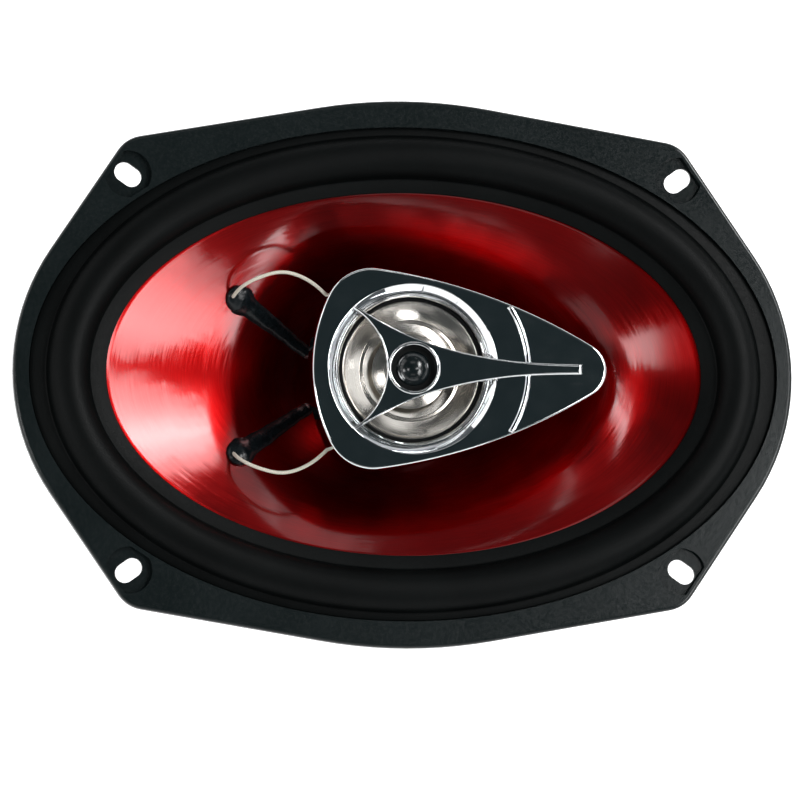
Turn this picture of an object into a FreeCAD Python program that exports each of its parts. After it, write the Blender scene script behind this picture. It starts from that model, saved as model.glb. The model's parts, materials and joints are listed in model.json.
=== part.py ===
import FreeCAD, Part
import math
import os

# 6x9 inch coaxial car speaker, in millimetres.
# +Z is the speaker's axis, out of its front. X is the long way and Y the short way.
# z = 0 is the back of the mounting flange, the plane that meets the panel.

V = FreeCAD.Vector
Z_AXIS = V(0, 0, 1)
SIDES = {"upper": 1, "lower": -1}

# Flange outline
half_length = 117.6
half_width = 82.2
end_radius = 65.0
end_half_angle = 34.0
long_side_radius = 150.0
shoulder_angle = 9.8
corner_radius = 10.0
sheet = 1.2
flange_height = 3.0
rim_fillet = 1.1
step_half = (112.9, 74.2)
slot_at = (83.2, 59.1)
slot_width = 5.8
slot_length = 8.6
pad_radius = 7.0

# Basket under the flange
throat_half = (107.0, 70.5)
throat_depth = 8.0
landing_z = -35.8
landing_radius = 50.0
cup_radius = 43.2
basket_floor_z = -46.0
floor_hole_radius = 16.0
spoke_angles = (0, 40, 90, 140, 180, 220, 270, 320)
spoke_half_width = 6.5
bead_half_width = 2.2
window_outer_half = (99.0, 62.5)
window_inner_radius = 54.0
window_corner = 2.5
ear_end = -61.0
ear_half_width = 12.0

# Woofer cone and its suspension
neck_radius = 13.6
cone_half = (90.0, 54.7)
cone_rim_half = (94.6, 58.6)
cone_neck_z = -29.0
cone_rim_z = 1.2
cone_flare = 0.25
cone_thickness = 0.9
lip_inner_half = (89.8, 54.5)
lip_outer_half = (112.7, 74.0)
lip_thickness = 0.8
roll_half = (101.2, 65.1)
roll_outer = 6.5
roll_inner = 5.8
spider_outer = 48.5
spider_waves = 7
spider_wave_height = 1.3
spider_thickness = 0.5

# Woofer motor
former_inner = 12.7
former_outer = 12.9
former_z = (-54.0, -26.0)
winding_outer = 13.5
winding_z = (-53.5, -43.5)
pole_radius = 12.3
pole_top = -45.5
gap_outer = 14.0
top_plate_radius = 43.0
top_plate_z = (-51.0, -46.0)
magnet_radius = 45.0
magnet_hole = 17.0
magnet_z = (-66.0, -51.0)
back_plate_z = (-71.0, -66.0)
boot_z = (-72.5, -53.0)
boot_wall = 1.8
boot_hole_radius = 17.0
rivet_circle = 30.0
motor_rivet_radius = 2.0
motor_rivet_head_radius = 3.6
motor_rivet_head = 1.0
diagonals = (45, 135, 225, 315)

# Post that carries the pod through the cone
post_radius = 5.0
post_flange_radius = 9.0
post_flange = 1.6
post_top = -10.0
post_screw_radius = 2.0
post_screw_reach = 14.0
pod_screw_radius = 1.5
pod_screw_head_radius = 2.9
pod_screw_head = 2.0
pod_screw_reach = 9.0

# Pod: tangent arcs, measured from the speaker's axis
pod_left = -30.1
pod_left_radius = 50.0
pod_left_angle = 26.1
pod_corner_radius = 14.3
pod_top_radius = 168.5
pod_tip_x = 58.2
pod_tip_radius = 8.4
pod_face_z = 18.0
pod_joint_z = 6.0
pod_wall = 1.6
pod_edge = 0.8
pod_fit = 0.1
pod_base_edge = 1.5
pod_base_floor = 2.4
pod_base_top = 9.0
pod_boss_radius = 16.5
pod_boss_wall = 2.2
pod_boss_floor = 1.6
pod_pillar = 2.0
pod_opening = 25.3
pod_funnel = 23.4
rib_radii = (33.7, 35.3)
rib_height = 0.7
case_screw_at = [(-10.2, 25.5), (-10.2, -25.5), (49.5, 0.0)]
case_screw_radius = 1.1
case_screw_head_radius = 1.9
case_screw_head = 1.4

# Crossover capacitors inside the pod
midrange_can = {"radius": 4.8, "half_span": 9.0, "x": 31.0, "z": 7.4}
tweeter_can = {"radius": 3.4, "half_span": 6.0, "x": 40.6, "z": 5.9}

# Midrange driver
mid_motor_z = -6.0
mid_plate_radius = 12.5
mid_plate = 2.0
mid_magnet_radii = (7.6, 13.0)
mid_magnet_height = 5.0
mid_pole_radius = 5.6
mid_gap_outer = 6.9
mid_former_radius = 6.0
mid_former_wall = 0.2
mid_winding_wall = 0.4
mid_former_z = (-1.0, 8.0)
mid_winding_top = 4.2
mid_rim_z = 12.2
mid_rim_height = 1.0
mid_rim_radius = 24.7
mid_rim_inner = 21.3
mid_basket_wall = 0.8
mid_basket_floor = (8.0, 13.2)
mid_basket_shoulder = 11.2
mid_vent_radius = 3.4
mid_vent_rise = 4.6
mid_spider_radii = (12.0, 13.6)
mid_spider_waves = 3
mid_spider_wave_height = 0.6
mid_trim_radii = (21.75, 23.3)
mid_cone_radius = 20.6
mid_cone_neck_z = 6.6
mid_cone_edge_z = (13.0, 13.5, 13.3)
mid_step_radius = 15.1
mid_step_z = (11.0, 10.5)
mid_cone_thickness = 0.5
mid_cap_radius = 11.25
mid_cap_base = 9.4
mid_cap_rise = 2.3

# Tweeter and the star that carries it over the midrange cone
star_top = 19.8
star_tip = (-17.75, 18.6)
star_waist = 8.05
star_arm_end = 50.5
star_arm_half_width = 1.5
star_bevel = 0.4
tweeter_back = 13.4
tweeter_lip = 17.8
tweeter_cup_radius = 6.7
tweeter_cup_floor = 0.9
tweeter_ring_radius = 7.85
tweeter_ring_height = 0.7
tweeter_well = 6.4
tweeter_dome_radius = 5.15
tweeter_dome_rise = 2.8
tweeter_magnet_size = (4.3, 2.0)
tweeter_plate_size = (4.65, 0.8)
tweeter_coil_wall = 0.33
tweeter_coil_depth = 2.4

# Glue spots and flexible leads
glue_at = (-48.7, 23.0)
glue_radius = 4.2
glue_trail_end = (-27.0, 8.6)
glue_sink = 0.6
glue_trail_radii = (3.2, 2.0)
eyelet_radius = 1.5
eyelet_reach = (-2.4, 1.6)
lead_radius = 0.55
lead_hole_radius = 0.9

# Terminals
board_z = (-38.6, -37.0)
board_x = (-74.0, -50.6)
board_half_width = 13.0
tab_thickness = 0.8
tab_x = (-86.0, -61.4)
tab_widths = {"positive": 6.3, "negative": 4.8}
tab_y = {"positive": 6.2, "negative": -6.2}
tab_rivet_x = -67.0
tab_nose = 1.2
lock_hole_radius = 0.9
lock_hole_from_end = 4.5
board_rivet_at = (-57.0, 9.0)
board_rivet = {"radius": 1.2, "head_radius": 2.1, "head": 0.7}
tab_rivet = {"radius": 1.1, "head_radius": 1.9, "head": 0.6}


# ---- shared shapes -------------------------------------------------------------------

def disc(radius, z0, z1, at=(0, 0)):
    """Upright cylinder between two heights."""
    return Part.makeCylinder(radius, z1 - z0, V(at[0], at[1], z0))


def ring(inner, outer, z0, z1, at=(0, 0)):
    """Upright tube between two heights."""
    return disc(outer, z0, z1, at).cut(disc(inner, z0 - 1, z1 + 1, at))


def box(x0, x1, y0, y1, z0, z1):
    """Box between two corners."""
    return Part.makeBox(x1 - x0, y1 - y0, z1 - z0, V(x0, y0, z0))


def fuse(shapes):
    """One solid from several that touch or overlap."""
    return shapes[0].multiFuse(shapes[1:]).removeSplitter()


def lathe(points):
    """Solid of revolution about Z from a closed outline of (radius, z) points."""
    corners = [V(r, 0, z) for r, z in points]
    outline = Part.makePolygon(corners + corners[:1])
    return Part.Face(outline).revolve(V(0, 0, 0), Z_AXIS, 360)


def lathe_wire(edges):
    """Solid of revolution about Z from closed edges in the XZ plane."""
    return Part.Face(Part.Wire(Part.__sortEdges__(edges))).revolve(V(0, 0, 0), Z_AXIS, 360)


def line(start, end):
    return Part.LineSegment(start, end).toShape()


def arc(start, middle, end):
    return Part.Arc(start, middle, end).toShape()


def oval(half, z):
    """Elliptical or round wire at a height, starting on +X."""
    centre = V(0, 0, z)
    if abs(half[0] - half[1]) < 1e-6:
        return Part.Wire(Part.Circle(centre, Z_AXIS, half[0]).toShape())
    return Part.Wire(Part.Ellipse(centre, half[0], half[1]).toShape())


def oval_block(half, z0, z1):
    """Upright elliptical cylinder."""
    return Part.Face(oval(half, z0)).extrude(V(0, 0, z1 - z0))


def oval_ring(inner, outer, z0, z1):
    return oval_block(outer, z0, z1).cut(oval_block(inner, z0 - 1, z1 + 1))


def oval_loft(sections, ruled):
    """Solid through (half axes, z) sections."""
    return Part.makeLoft([oval(half, z) for half, z in sections], True, ruled)


def grown(half, by):
    return (half[0] + by, half[1] + by)


def polar(radius, degrees):
    angle = math.radians(degrees)
    return V(radius * math.cos(angle), radius * math.sin(angle), 0)


def prism(wire, z0, z1):
    """A flat outline drawn at z = 0, raised between two heights."""
    solid = Part.Face(wire).extrude(V(0, 0, z1 - z0))
    solid.translate(V(0, 0, z0))
    return solid


def inset(wire, by):
    """The same outline, moved inwards."""
    return Part.Face(wire).makeOffset2D(-by).OuterWire


def flat_edges(solid, z):
    """The edges that lie wholly at one height."""
    level = [e for e in solid.Edges if all(abs(v.Z - z) < 1e-6 for v in e.Vertexes)]
    return [e for e in level if abs(e.BoundBox.ZLength) < 1e-6]


def round_flat_edges(solid, z, radius):
    return solid.makeFillet(radius, flat_edges(solid, z))


def mirrored_outline(half_edges):
    """Closed wire from the edges of the half above the X axis."""
    edges = list(half_edges)
    for edge in half_edges:
        edges.append(edge.mirror(V(0, 0, 0), V(0, 1, 0)))
    return Part.Wire(Part.__sortEdges__(edges))


def tube_along(points, radius):
    """Round tube on straight runs joined by tangent arcs."""
    points = [V(*p) for p in points]
    edges = []
    here = points[0]
    for before, corner, after in zip(points, points[1:], points[2:]):
        back = (before - corner).normalize()
        ahead = (after - corner).normalize()
        half_turn = (math.pi - back.getAngle(ahead)) / 2
        reach = 0.45 * min((before - corner).Length, (after - corner).Length)
        bend = reach / math.tan(half_turn)
        middle_way = (back + ahead).normalize()
        depth = bend / math.cos(half_turn) - bend
        start = corner + back * reach
        end = corner + ahead * reach
        edges.append(line(here, start))
        edges.append(arc(start, corner + middle_way * depth, end))
        here = end
        print("  bend radius %.1f mm" % bend)
    edges.append(line(here, points[-1]))
    path = Part.Wire(edges)
    mouth = Part.Wire(Part.Circle(points[0], points[1] - points[0], radius).toShape())
    tube = path.makePipeShell([mouth], True, False)
    expected = math.pi * radius**2 * path.Length
    print("  tube length %.1f mm, volume %.3f of section x length" % (path.Length, tube.Volume / expected))
    return tube


def dome_shell(radius, low, rise, thickness):
    """Thin dome: a slice of a hollow ball, standing on its rim."""
    ball = (radius**2 + rise**2) / (2 * rise)
    centre = V(0, 0, low + rise - ball)
    shell = Part.makeSphere(ball, centre).cut(Part.makeSphere(ball - thickness, centre))
    return shell.common(disc(radius + 1, low, low + rise + 1))


def rivet(radius, head_radius, head, z0, z1, at):
    """Rivet that clamps what lies between two heights."""
    low = disc(head_radius, z0 - head, z0, at)
    high = disc(head_radius, z1, z1 + head, at)
    return fuse([disc(radius, z0, z1, at), low, high])


# ---- basket --------------------------------------------------------------------------

def flange_outline():
    """Oval flange with four cut corners: arcs and straight runs."""
    turn = math.radians(end_half_angle)
    end_centre = V(half_length - end_radius, 0, 0)
    end_point = end_centre + V(end_radius * math.cos(turn), end_radius * math.sin(turn), 0)
    end_middle = end_centre + polar(end_radius, end_half_angle / 2)
    tilt = math.radians(shoulder_angle)
    side_centre = V(0, half_width - long_side_radius, 0)
    side_point = side_centre + V(math.sin(tilt), math.cos(tilt), 0) * long_side_radius
    side_middle = side_centre + V(math.sin(tilt / 2), math.cos(tilt / 2), 0) * long_side_radius

    diagonal = V(-math.sin(turn), math.cos(turn), 0)
    shoulder = V(math.cos(tilt), -math.sin(tilt), 0)
    gap = side_point - end_point
    cross = diagonal.x * shoulder.y - diagonal.y * shoulder.x
    reach = (gap.x * shoulder.y - gap.y * shoulder.x) / cross
    apex = end_point + diagonal * reach

    back = diagonal * -1
    onward = shoulder * -1
    half_turn = (math.pi - back.getAngle(onward)) / 2
    trim = corner_radius * math.tan(half_turn)
    depth = corner_radius / math.cos(half_turn) - corner_radius
    corner_start = apex + back * trim
    corner_end = apex + onward * trim
    corner_middle = apex + (back + onward).normalize() * depth

    quarter = [
        arc(V(half_length, 0, 0), end_middle, end_point),
        line(end_point, corner_start),
        arc(corner_start, corner_middle, corner_end),
        line(corner_end, side_point),
        arc(side_point, side_middle, V(0, half_width, 0)),
    ]
    upper = quarter + [edge.mirror(V(0, 0, 0), V(1, 0, 0)) for edge in quarter]
    return mirrored_outline(upper)


def slot_centres():
    return [(x * slot_at[0], y * slot_at[1]) for x in (1, -1) for y in (1, -1)]


def mounting_slot(at):
    """Long hole that points at the speaker's axis."""
    flat = slot_length - slot_width
    slot = fuse([
        box(-flat / 2, flat / 2, -slot_width / 2, slot_width / 2, -1, flange_height + 1),
        disc(slot_width / 2, -1, flange_height + 1, (-flat / 2, 0)),
        disc(slot_width / 2, -1, flange_height + 1, (flat / 2, 0)),
    ])
    slot.rotate(V(0, 0, 0), Z_AXIS, math.degrees(math.atan2(at[1], at[0])))
    slot.translate(V(at[0], at[1], 0))
    return slot


def flange():
    """Pressed plate with a turned-down rim, a step for the surround and four slotted pads."""
    outline = flange_outline()
    body = round_flat_edges(prism(outline, 0, flange_height), flange_height, rim_fillet)
    hollow = prism(inset(outline, sheet + 0.1), -1, flange_height - sheet)
    hollow = hollow.cut(oval_block(grown(step_half, sheet), -2, flange_height))
    for at in slot_centres():
        hollow = hollow.cut(disc(pad_radius + sheet, -2, flange_height, at))
    body = body.cut(hollow)
    body = body.cut(oval_block(step_half, sheet, flange_height + 1))
    body = body.cut(oval_block(grown(throat_half, -sheet), -1, flange_height))
    floor_area = prism(inset(outline, sheet + 0.5), sheet, flange_height + 1)
    outside_step = floor_area.cut(oval_block(grown(step_half, sheet), 0, flange_height + 2))
    for at in slot_centres():
        recess = disc(pad_radius, sheet, flange_height + 1, at).common(outside_step)
        body = body.cut(recess).cut(mounting_slot(at))
    return body


def spoke_bars(half_width, z0, z1):
    """Radial bars outwards from the axis, one along each spoke."""
    bars = []
    for angle in spoke_angles:
        bar = box(0, half_length, -half_width, half_width, z0, z1)
        bar.rotate(V(0, 0, 0), Z_AXIS, angle)
        bars.append(bar)
    return fuse(bars)


def side_wall(outward):
    """Solid inside the basket's sloping wall, moved outward."""
    low = grown((landing_radius, landing_radius), outward)
    return oval_loft([(low, landing_z - sheet), (grown(throat_half, outward), -throat_depth)], True)


def windows():
    """Openings between the spokes, cut straight down the axis."""
    low = landing_z - 6
    span = oval_block(window_outer_half, low, 0)
    span = span.cut(disc(window_inner_radius, low - 1, 1))
    span = span.cut(spoke_bars(spoke_half_width, low - 1, 1))
    cutters = []
    for piece in span.Solids:
        upright = [e for e in piece.Edges if abs(e.BoundBox.ZLength + low) < 1e-3]
        cutters.append(piece.makeFillet(window_corner, upright))
    return cutters


def basket():
    """Stamped steel frame: flange, windowed side wall with ribbed spokes, cup and ear."""
    inner = oval_loft([
        ((landing_radius - 0.8, landing_radius - 0.8), landing_z - 0.3),
        (grown(throat_half, -sheet), -throat_depth + 0.9),
    ], True)
    bore = disc(landing_radius - 1.2, landing_z - 3, 0)
    wall = side_wall(0).cut(inner).cut(bore)
    beads = side_wall(sheet).cut(side_wall(0)).cut(disc(landing_radius + 2, -60, 0))
    beads = beads.common(spoke_bars(bead_half_width, landing_z, -throat_depth - 3))
    wall = wall.cut(windows())
    throat = oval_ring(grown(throat_half, -sheet), throat_half, -throat_depth, sheet)
    cup = lathe([
        (floor_hole_radius, basket_floor_z),
        (cup_radius, basket_floor_z),
        (cup_radius, landing_z - sheet),
        (landing_radius, landing_z - sheet),
        (landing_radius, landing_z),
        (cup_radius - sheet, landing_z),
        (cup_radius - sheet, basket_floor_z + sheet),
        (floor_hole_radius, basket_floor_z + sheet),
    ])
    ear = box(ear_end, -cup_radius, -ear_half_width, ear_half_width, landing_z - sheet, landing_z)
    ear = ear.cut(disc(cup_radius, -60, 0))
    ear = ear.cut(board_rivets())
    body = fuse([flange(), throat, wall, cup, ear, beads])
    return body.cut(motor_rivets())


# ---- woofer cone and suspension -------------------------------------------------------

def cone_section(share):
    """Half axes and height of the cone's front face, from neck (0) to rim (1)."""
    a = neck_radius + (cone_half[0] - neck_radius) * share
    b = neck_radius + (cone_half[1] - neck_radius) * share
    rise = share + cone_flare * share * (1 - share)
    return (a, b), cone_neck_z + (cone_rim_z - cone_neck_z) * rise


def cone_height(x, y):
    """Height of the cone's front face at a point."""
    low, high = 0.0, 1.0
    for _ in range(40):
        share = (low + high) / 2
        (a, b), _ = cone_section(share)
        if (x / a) ** 2 + (y / b) ** 2 > 1:
            low = share
        else:
            high = share
    return cone_section(share)[1]


def cone_dish(lift):
    """Solid that fills the cone's dish, moved along Z."""
    shares = [i / 8 for i in range(9)]
    sections = [cone_section(share) for share in shares]
    return oval_loft([(half, z + lift) for half, z in sections], False)


def cone():
    """Pressed cone with a flat rim and a collar that is glued to the coil former."""
    under = cone_dish(-cone_thickness)
    rim = oval_block(cone_rim_half, cone_rim_z - cone_thickness, cone_rim_z)
    collar = disc(neck_radius, cone_neck_z - 4, cone_neck_z)
    body = fuse([under, rim, collar]).cut(cone_dish(0))
    body = body.cut(disc(former_outer, cone_neck_z - 9, 0))
    for side in SIDES.values():
        body = body.cut(eyelet_core(side))
    return body


def sweep_round_oval(profile):
    """Pushes an outline in the XZ plane round the middle line of the surround's roll."""
    return oval(roll_half, cone_rim_z).makePipeShell([profile], True, True)


def surround():
    """Half-roll rubber ring with a flat lip on the cone and another on the basket's step."""
    x, z = roll_half[0], cone_rim_z
    outer = arc(V(x - roll_outer, 0, z), V(x, 0, z + roll_outer), V(x + roll_outer, 0, z))
    inner = arc(V(x - roll_inner, 0, z), V(x, 0, z + roll_inner), V(x + roll_inner, 0, z))
    feet = [
        line(V(x - roll_outer, 0, z), V(x - roll_inner, 0, z)),
        line(V(x + roll_inner, 0, z), V(x + roll_outer, 0, z)),
    ]
    roll = sweep_round_oval(Part.Wire(Part.__sortEdges__([outer, inner] + feet)))
    reach = (roll_inner + roll_outer) / 2
    gap = Part.makePolygon([
        V(x - reach, 0, z - 1), V(x + reach, 0, z - 1),
        V(x + reach, 0, z + 2), V(x - reach, 0, z + 2), V(x - reach, 0, z - 1),
    ])
    lips = oval_ring(lip_inner_half, lip_outer_half, z, z + lip_thickness)
    lips = lips.cut(sweep_round_oval(gap))
    return fuse([roll] + lips.Solids)


def wave_edges(r0, r1, z, count, height):
    """Row of alternating arcs from one radius to another."""
    step = (r1 - r0) / count
    edges = []
    for i in range(count):
        start = V(r0 + i * step, 0, z)
        end = V(r0 + (i + 1) * step, 0, z)
        lift = height if i % 2 == 0 else -height
        edges.append(arc(start, V(start.x + step / 2, 0, z + lift), end))
    return edges


def corrugated_ring(r0, r1, lip_end, z, count, height, thickness):
    """Corrugated fabric disc with a flat outer lip."""
    top_z = z + thickness
    top = wave_edges(r0, r1, top_z, count, height)
    under = wave_edges(r0, r1, z, count, height)
    ends = [
        line(V(r0, 0, z), V(r0, 0, top_z)),
        line(V(r1, 0, top_z), V(lip_end, 0, top_z)),
        line(V(lip_end, 0, top_z), V(lip_end, 0, z)),
        line(V(r1, 0, z), V(lip_end, 0, z)),
    ]
    return lathe_wire(top + under + ends)


def spider():
    """Corrugated cloth disc that centres the voice coil."""
    lip_start = cup_radius - 0.4
    return corrugated_ring(former_outer, lip_start, spider_outer, landing_z,
                           spider_waves, spider_wave_height, spider_thickness)


def voice_coil_former():
    return ring(former_inner, former_outer, *former_z)


def voice_coil_winding():
    return ring(former_outer, winding_outer, *winding_z)


# ---- woofer motor ---------------------------------------------------------------------

def motor_rivets():
    """Four rivets that join the basket's floor to the top plate."""
    low, high = top_plate_z[0], basket_floor_z + sheet
    rivets = []
    for angle in diagonals:
        at = polar(rivet_circle, angle)
        shaft = disc(motor_rivet_radius, low, high, (at.x, at.y))
        head = disc(motor_rivet_head_radius, high, high + motor_rivet_head, (at.x, at.y))
        rivets.append(fuse([shaft, head]))
    return Part.makeCompound(rivets)


def top_plate():
    return ring(gap_outer, top_plate_radius, *top_plate_z).cut(motor_rivets())


def magnet():
    """Ferrite ring with broken edges."""
    low, high = magnet_z
    bevel = 1.0
    return lathe([
        (magnet_hole, low), (magnet_radius - bevel, low), (magnet_radius, low + bevel),
        (magnet_radius, high - bevel), (magnet_radius - bevel, high), (magnet_hole, high),
    ])


def yoke():
    """Back plate and pole in one piece, drilled for the post's screw."""
    low, high = back_plate_z
    plate = disc(top_plate_radius, low, high)
    pole = disc(pole_radius, high, pole_top)
    body = fuse([plate, pole])
    return body.cut(screw_hole())


def magnet_boot():
    """Rubber cover over the magnet and back plate, open in the middle of its back."""
    low, high = boot_z
    outer = magnet_radius + boot_wall
    bevel = 2.0
    return lathe([
        (boot_hole_radius, low), (outer - bevel, low), (outer, low + bevel),
        (outer, high), (magnet_radius, high), (magnet_radius, magnet_z[0]),
        (top_plate_radius, magnet_z[0]), (top_plate_radius, back_plate_z[0]),
        (boot_hole_radius, back_plate_z[0]),
    ])


# ---- post -----------------------------------------------------------------------------

def post():
    """Stand on the pole that carries the pod, with a flange under the pod."""
    body = fuse([
        disc(post_radius, pole_top, post_top),
        disc(post_flange_radius, post_top - post_flange, post_top),
    ])
    return body.cut(screw_hole()).cut(pod_screw())


def screw_hole():
    """Countersunk hole from the back of the yoke, through the pole, into the post."""
    low = back_plate_z[0]
    head_depth = 2.4
    head = Part.makeCone(2 * post_screw_radius, post_screw_radius, head_depth, V(0, 0, low))
    return fuse([head, disc(post_screw_radius, low + head_depth, pole_top + post_screw_reach)])


def post_screw():
    """Countersunk screw that fills the hole, with a socket in its head."""
    low = back_plate_z[0]
    socket_radius, socket_depth = 1.2, 1.4
    return screw_hole().cut(disc(socket_radius, low - 1, low + socket_depth))


def pod_screw():
    """Screw from inside the pod base down into the post."""
    seat = post_top + pod_boss_floor
    head = disc(pod_screw_head_radius, seat, seat + pod_screw_head)
    shaft = disc(pod_screw_radius, post_top - pod_screw_reach, seat)
    socket = disc(pod_screw_head_radius / 3, seat + pod_screw_head / 2, seat + pod_screw_head)
    return fuse([head, shaft]).cut(socket)


# ---- pod shells -----------------------------------------------------------------------

def pod_outline():
    """Teardrop of tangent arcs: blunt left end, convex long sides, round tip."""
    left_centre = V(pod_left + pod_left_radius, 0, 0)
    turn = math.radians(pod_left_angle)
    left_way = V(-math.cos(turn), math.sin(turn), 0)
    left_end = left_centre + left_way * pod_left_radius
    left_middle = left_centre + V(-math.cos(turn / 2), math.sin(turn / 2), 0) * pod_left_radius
    corner_centre = left_end - left_way * pod_corner_radius
    tip_centre = V(pod_tip_x - pod_tip_radius, 0, 0)

    # The long side's circle holds the corner's and the tip's circles and touches both.
    to_corner = pod_top_radius - pod_corner_radius
    to_tip = pod_top_radius - pod_tip_radius
    across = tip_centre - corner_centre
    span = across.Length
    along = (to_corner**2 - to_tip**2 + span**2) / (2 * span)
    drop = math.sqrt(to_corner**2 - along**2)
    way = V(across.x, across.y, 0).normalize()
    side_centre = corner_centre + way * along + V(way.y, -way.x, 0) * drop

    corner_way = (corner_centre - side_centre).normalize()
    tip_way = (tip_centre - side_centre).normalize()
    corner_end = corner_centre + corner_way * pod_corner_radius
    tip_start = tip_centre + tip_way * pod_tip_radius
    corner_middle = corner_centre + (left_way + corner_way).normalize() * pod_corner_radius
    side_middle = side_centre + (corner_way + tip_way).normalize() * pod_top_radius
    tip_middle = tip_centre + (tip_way + V(1, 0, 0)).normalize() * pod_tip_radius
    return mirrored_outline([
        arc(V(pod_left, 0, 0), left_middle, left_end),
        arc(left_end, corner_middle, corner_end),
        arc(corner_end, side_middle, tip_start),
        arc(tip_start, tip_middle, V(pod_tip_x, 0, 0)),
    ])


def pod_bezel():
    """Chrome-plated face shell with a funnel round the midrange and a curved rib."""
    outline = pod_outline()
    body = round_flat_edges(prism(outline, pod_joint_z, pod_face_z), pod_face_z, pod_edge)
    hollow = prism(inset(outline, pod_wall), pod_joint_z - 1, pod_face_z - pod_wall)
    socket = ring(mid_rim_radius + 0.1, mid_rim_radius + 1.3, mid_rim_z, pod_face_z - pod_wall)
    socket = socket.common(hollow)
    rib = ring(rib_radii[0], rib_radii[1], pod_face_z - 0.5, pod_face_z + rib_height)
    rib = rib.common(prism(inset(outline, pod_edge), 0, pod_face_z + 5))
    rib = rib.common(box(0, half_length, -half_width, half_width, 0, pod_face_z + 5))
    funnel = lathe([
        (0, pod_face_z - pod_wall - 1), (pod_funnel, pod_face_z - pod_wall - 1),
        (pod_funnel, pod_face_z - pod_wall), (pod_opening, pod_face_z),
        (pod_opening, pod_face_z + 1), (0, pod_face_z + 1),
    ])
    bosses = [disc(pod_pillar, pod_base_top, pod_face_z - pod_wall, at) for at in case_screw_at]
    body = fuse([body.cut(hollow), socket, rib.Solids[0]] + rib.Solids[1:] + bosses)
    return body.cut(funnel).cut(pod_case_screws())


def pod_case_screws():
    """Three self-tapping screws that hold the pod's base to its face."""
    low = 0.2
    seat = low + case_screw_head
    screws = []
    for at in case_screw_at:
        shaft = disc(case_screw_radius, seat, pod_base_top + 5, at)
        head = disc(case_screw_head_radius, low, seat, at)
        socket = disc(case_screw_head_radius * 0.4, low, low + case_screw_head / 2, at)
        screws.append(fuse([shaft, head]).cut(socket))
    return Part.makeCompound(screws)


def pod_base():
    """Rear shell: a tray that fits inside the face shell, with a boss on the post."""
    outline = inset(pod_outline(), pod_wall + pod_fit)
    floor = pod_base_floor
    tray = round_flat_edges(prism(outline, 0, pod_base_top), 0, pod_base_edge)
    hollow = prism(inset(outline, pod_wall), floor, pod_base_top + 1)
    boss = disc(pod_boss_radius, post_top, floor)
    well = disc(pod_boss_radius - pod_boss_wall, mid_motor_z, floor + 1)
    pillars = [disc(pod_pillar, floor, pod_base_top, at) for at in case_screw_at]
    body = fuse([tray.cut(hollow), boss] + pillars).cut(well)
    body = body.cut(pod_screw()).cut(pod_case_screws())
    head_space = disc(pod_screw_head_radius + 0.3, post_top + pod_boss_floor, mid_motor_z + 1)
    body = body.cut(head_space)
    for side in SIDES.values():
        start, end = (V(*p) for p in front_lead_route(side)[-2:])
        way = end - start
        body = body.cut(Part.makeCylinder(lead_hole_radius, way.Length + 4, start, way))
    return body


def capacitor(radius, half_span, x, z):
    """Electrolytic can on its side, with a crimped neck."""
    can = Part.makeCylinder(radius, 2 * half_span, V(x, -half_span, z), V(0, 1, 0))
    neck_width, neck_depth = 1.0, 0.6
    neck_at = V(x, half_span - 3 * neck_width, z)
    groove = Part.makeCylinder(radius + 1, neck_width, neck_at, V(0, 1, 0))
    groove = groove.cut(Part.makeCylinder(radius - neck_depth, neck_width, neck_at, V(0, 1, 0)))
    return can.cut(groove)


def midrange_capacitor():
    return capacitor(**midrange_can)


def tweeter_capacitor():
    return capacitor(**tweeter_can)


# ---- midrange -------------------------------------------------------------------------

def mid_frame():
    """Small pressed frame between the midrange motor and the pod's face."""
    foot, top = mid_magnet_top() + mid_plate, mid_rim_z
    wall = mid_basket_wall
    hub, floor_end = mid_basket_floor
    body = lathe([
        (hub, foot), (floor_end, foot), (mid_rim_inner + wall, mid_basket_shoulder),
        (mid_rim_inner + wall, top), (mid_rim_radius, top),
        (mid_rim_radius, top + mid_rim_height), (mid_rim_inner, top + mid_rim_height),
        (mid_rim_inner, mid_basket_shoulder + wall / 2), (floor_end - wall / 2, foot + wall), (hub, foot + wall),
    ])
    for angle in diagonals:
        vent = Part.makeCylinder(mid_vent_radius, floor_end, polar(floor_end, angle), polar(1, angle))
        vent.translate(V(0, 0, foot + mid_vent_rise))
        body = body.cut(vent)
    return body


def mid_magnet_top():
    return mid_motor_z + mid_plate + mid_magnet_height


def mid_yoke():
    """Back plate and pole of the midrange motor."""
    low = mid_motor_z
    pole_end = mid_magnet_top() + mid_plate + 0.2
    return fuse([disc(mid_plate_radius, low, low + mid_plate), disc(mid_pole_radius, low, pole_end)])


def mid_magnet():
    return ring(*mid_magnet_radii, mid_motor_z + mid_plate, mid_magnet_top())


def mid_top_plate():
    return ring(mid_gap_outer, mid_plate_radius, mid_magnet_top(), mid_magnet_top() + mid_plate)


def mid_former():
    return ring(mid_former_radius, mid_former_radius + mid_former_wall, *mid_former_z)


def mid_winding():
    inner = mid_former_radius + mid_former_wall
    return ring(inner, inner + mid_winding_wall, mid_former_z[0], mid_winding_top)


def mid_spider():
    """Corrugated disc over the midrange motor."""
    wave_end, lip_end = mid_spider_radii
    level = mid_winding_top + 0.5
    return corrugated_ring(mid_former_radius + mid_former_wall, wave_end, lip_end, level,
                           mid_spider_waves, mid_spider_wave_height, 0.3)


def mid_cone():
    """Silver cone in two steps, open at its neck."""
    neck = mid_former_radius + mid_former_wall
    face = [
        (neck, mid_cone_neck_z), (mid_cap_radius, mid_cap_base),
        (mid_step_radius - 0.9, mid_step_z[0]), (mid_step_radius, mid_step_z[1]),
        (mid_cone_radius - 0.9, mid_cone_edge_z[0]), (mid_cone_radius - 0.4, mid_cone_edge_z[1]),
        (mid_cone_radius, mid_cone_edge_z[2]),
    ]
    under = [(r, z - mid_cone_thickness) for r, z in reversed(face)]
    return lathe(face + under)


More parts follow.
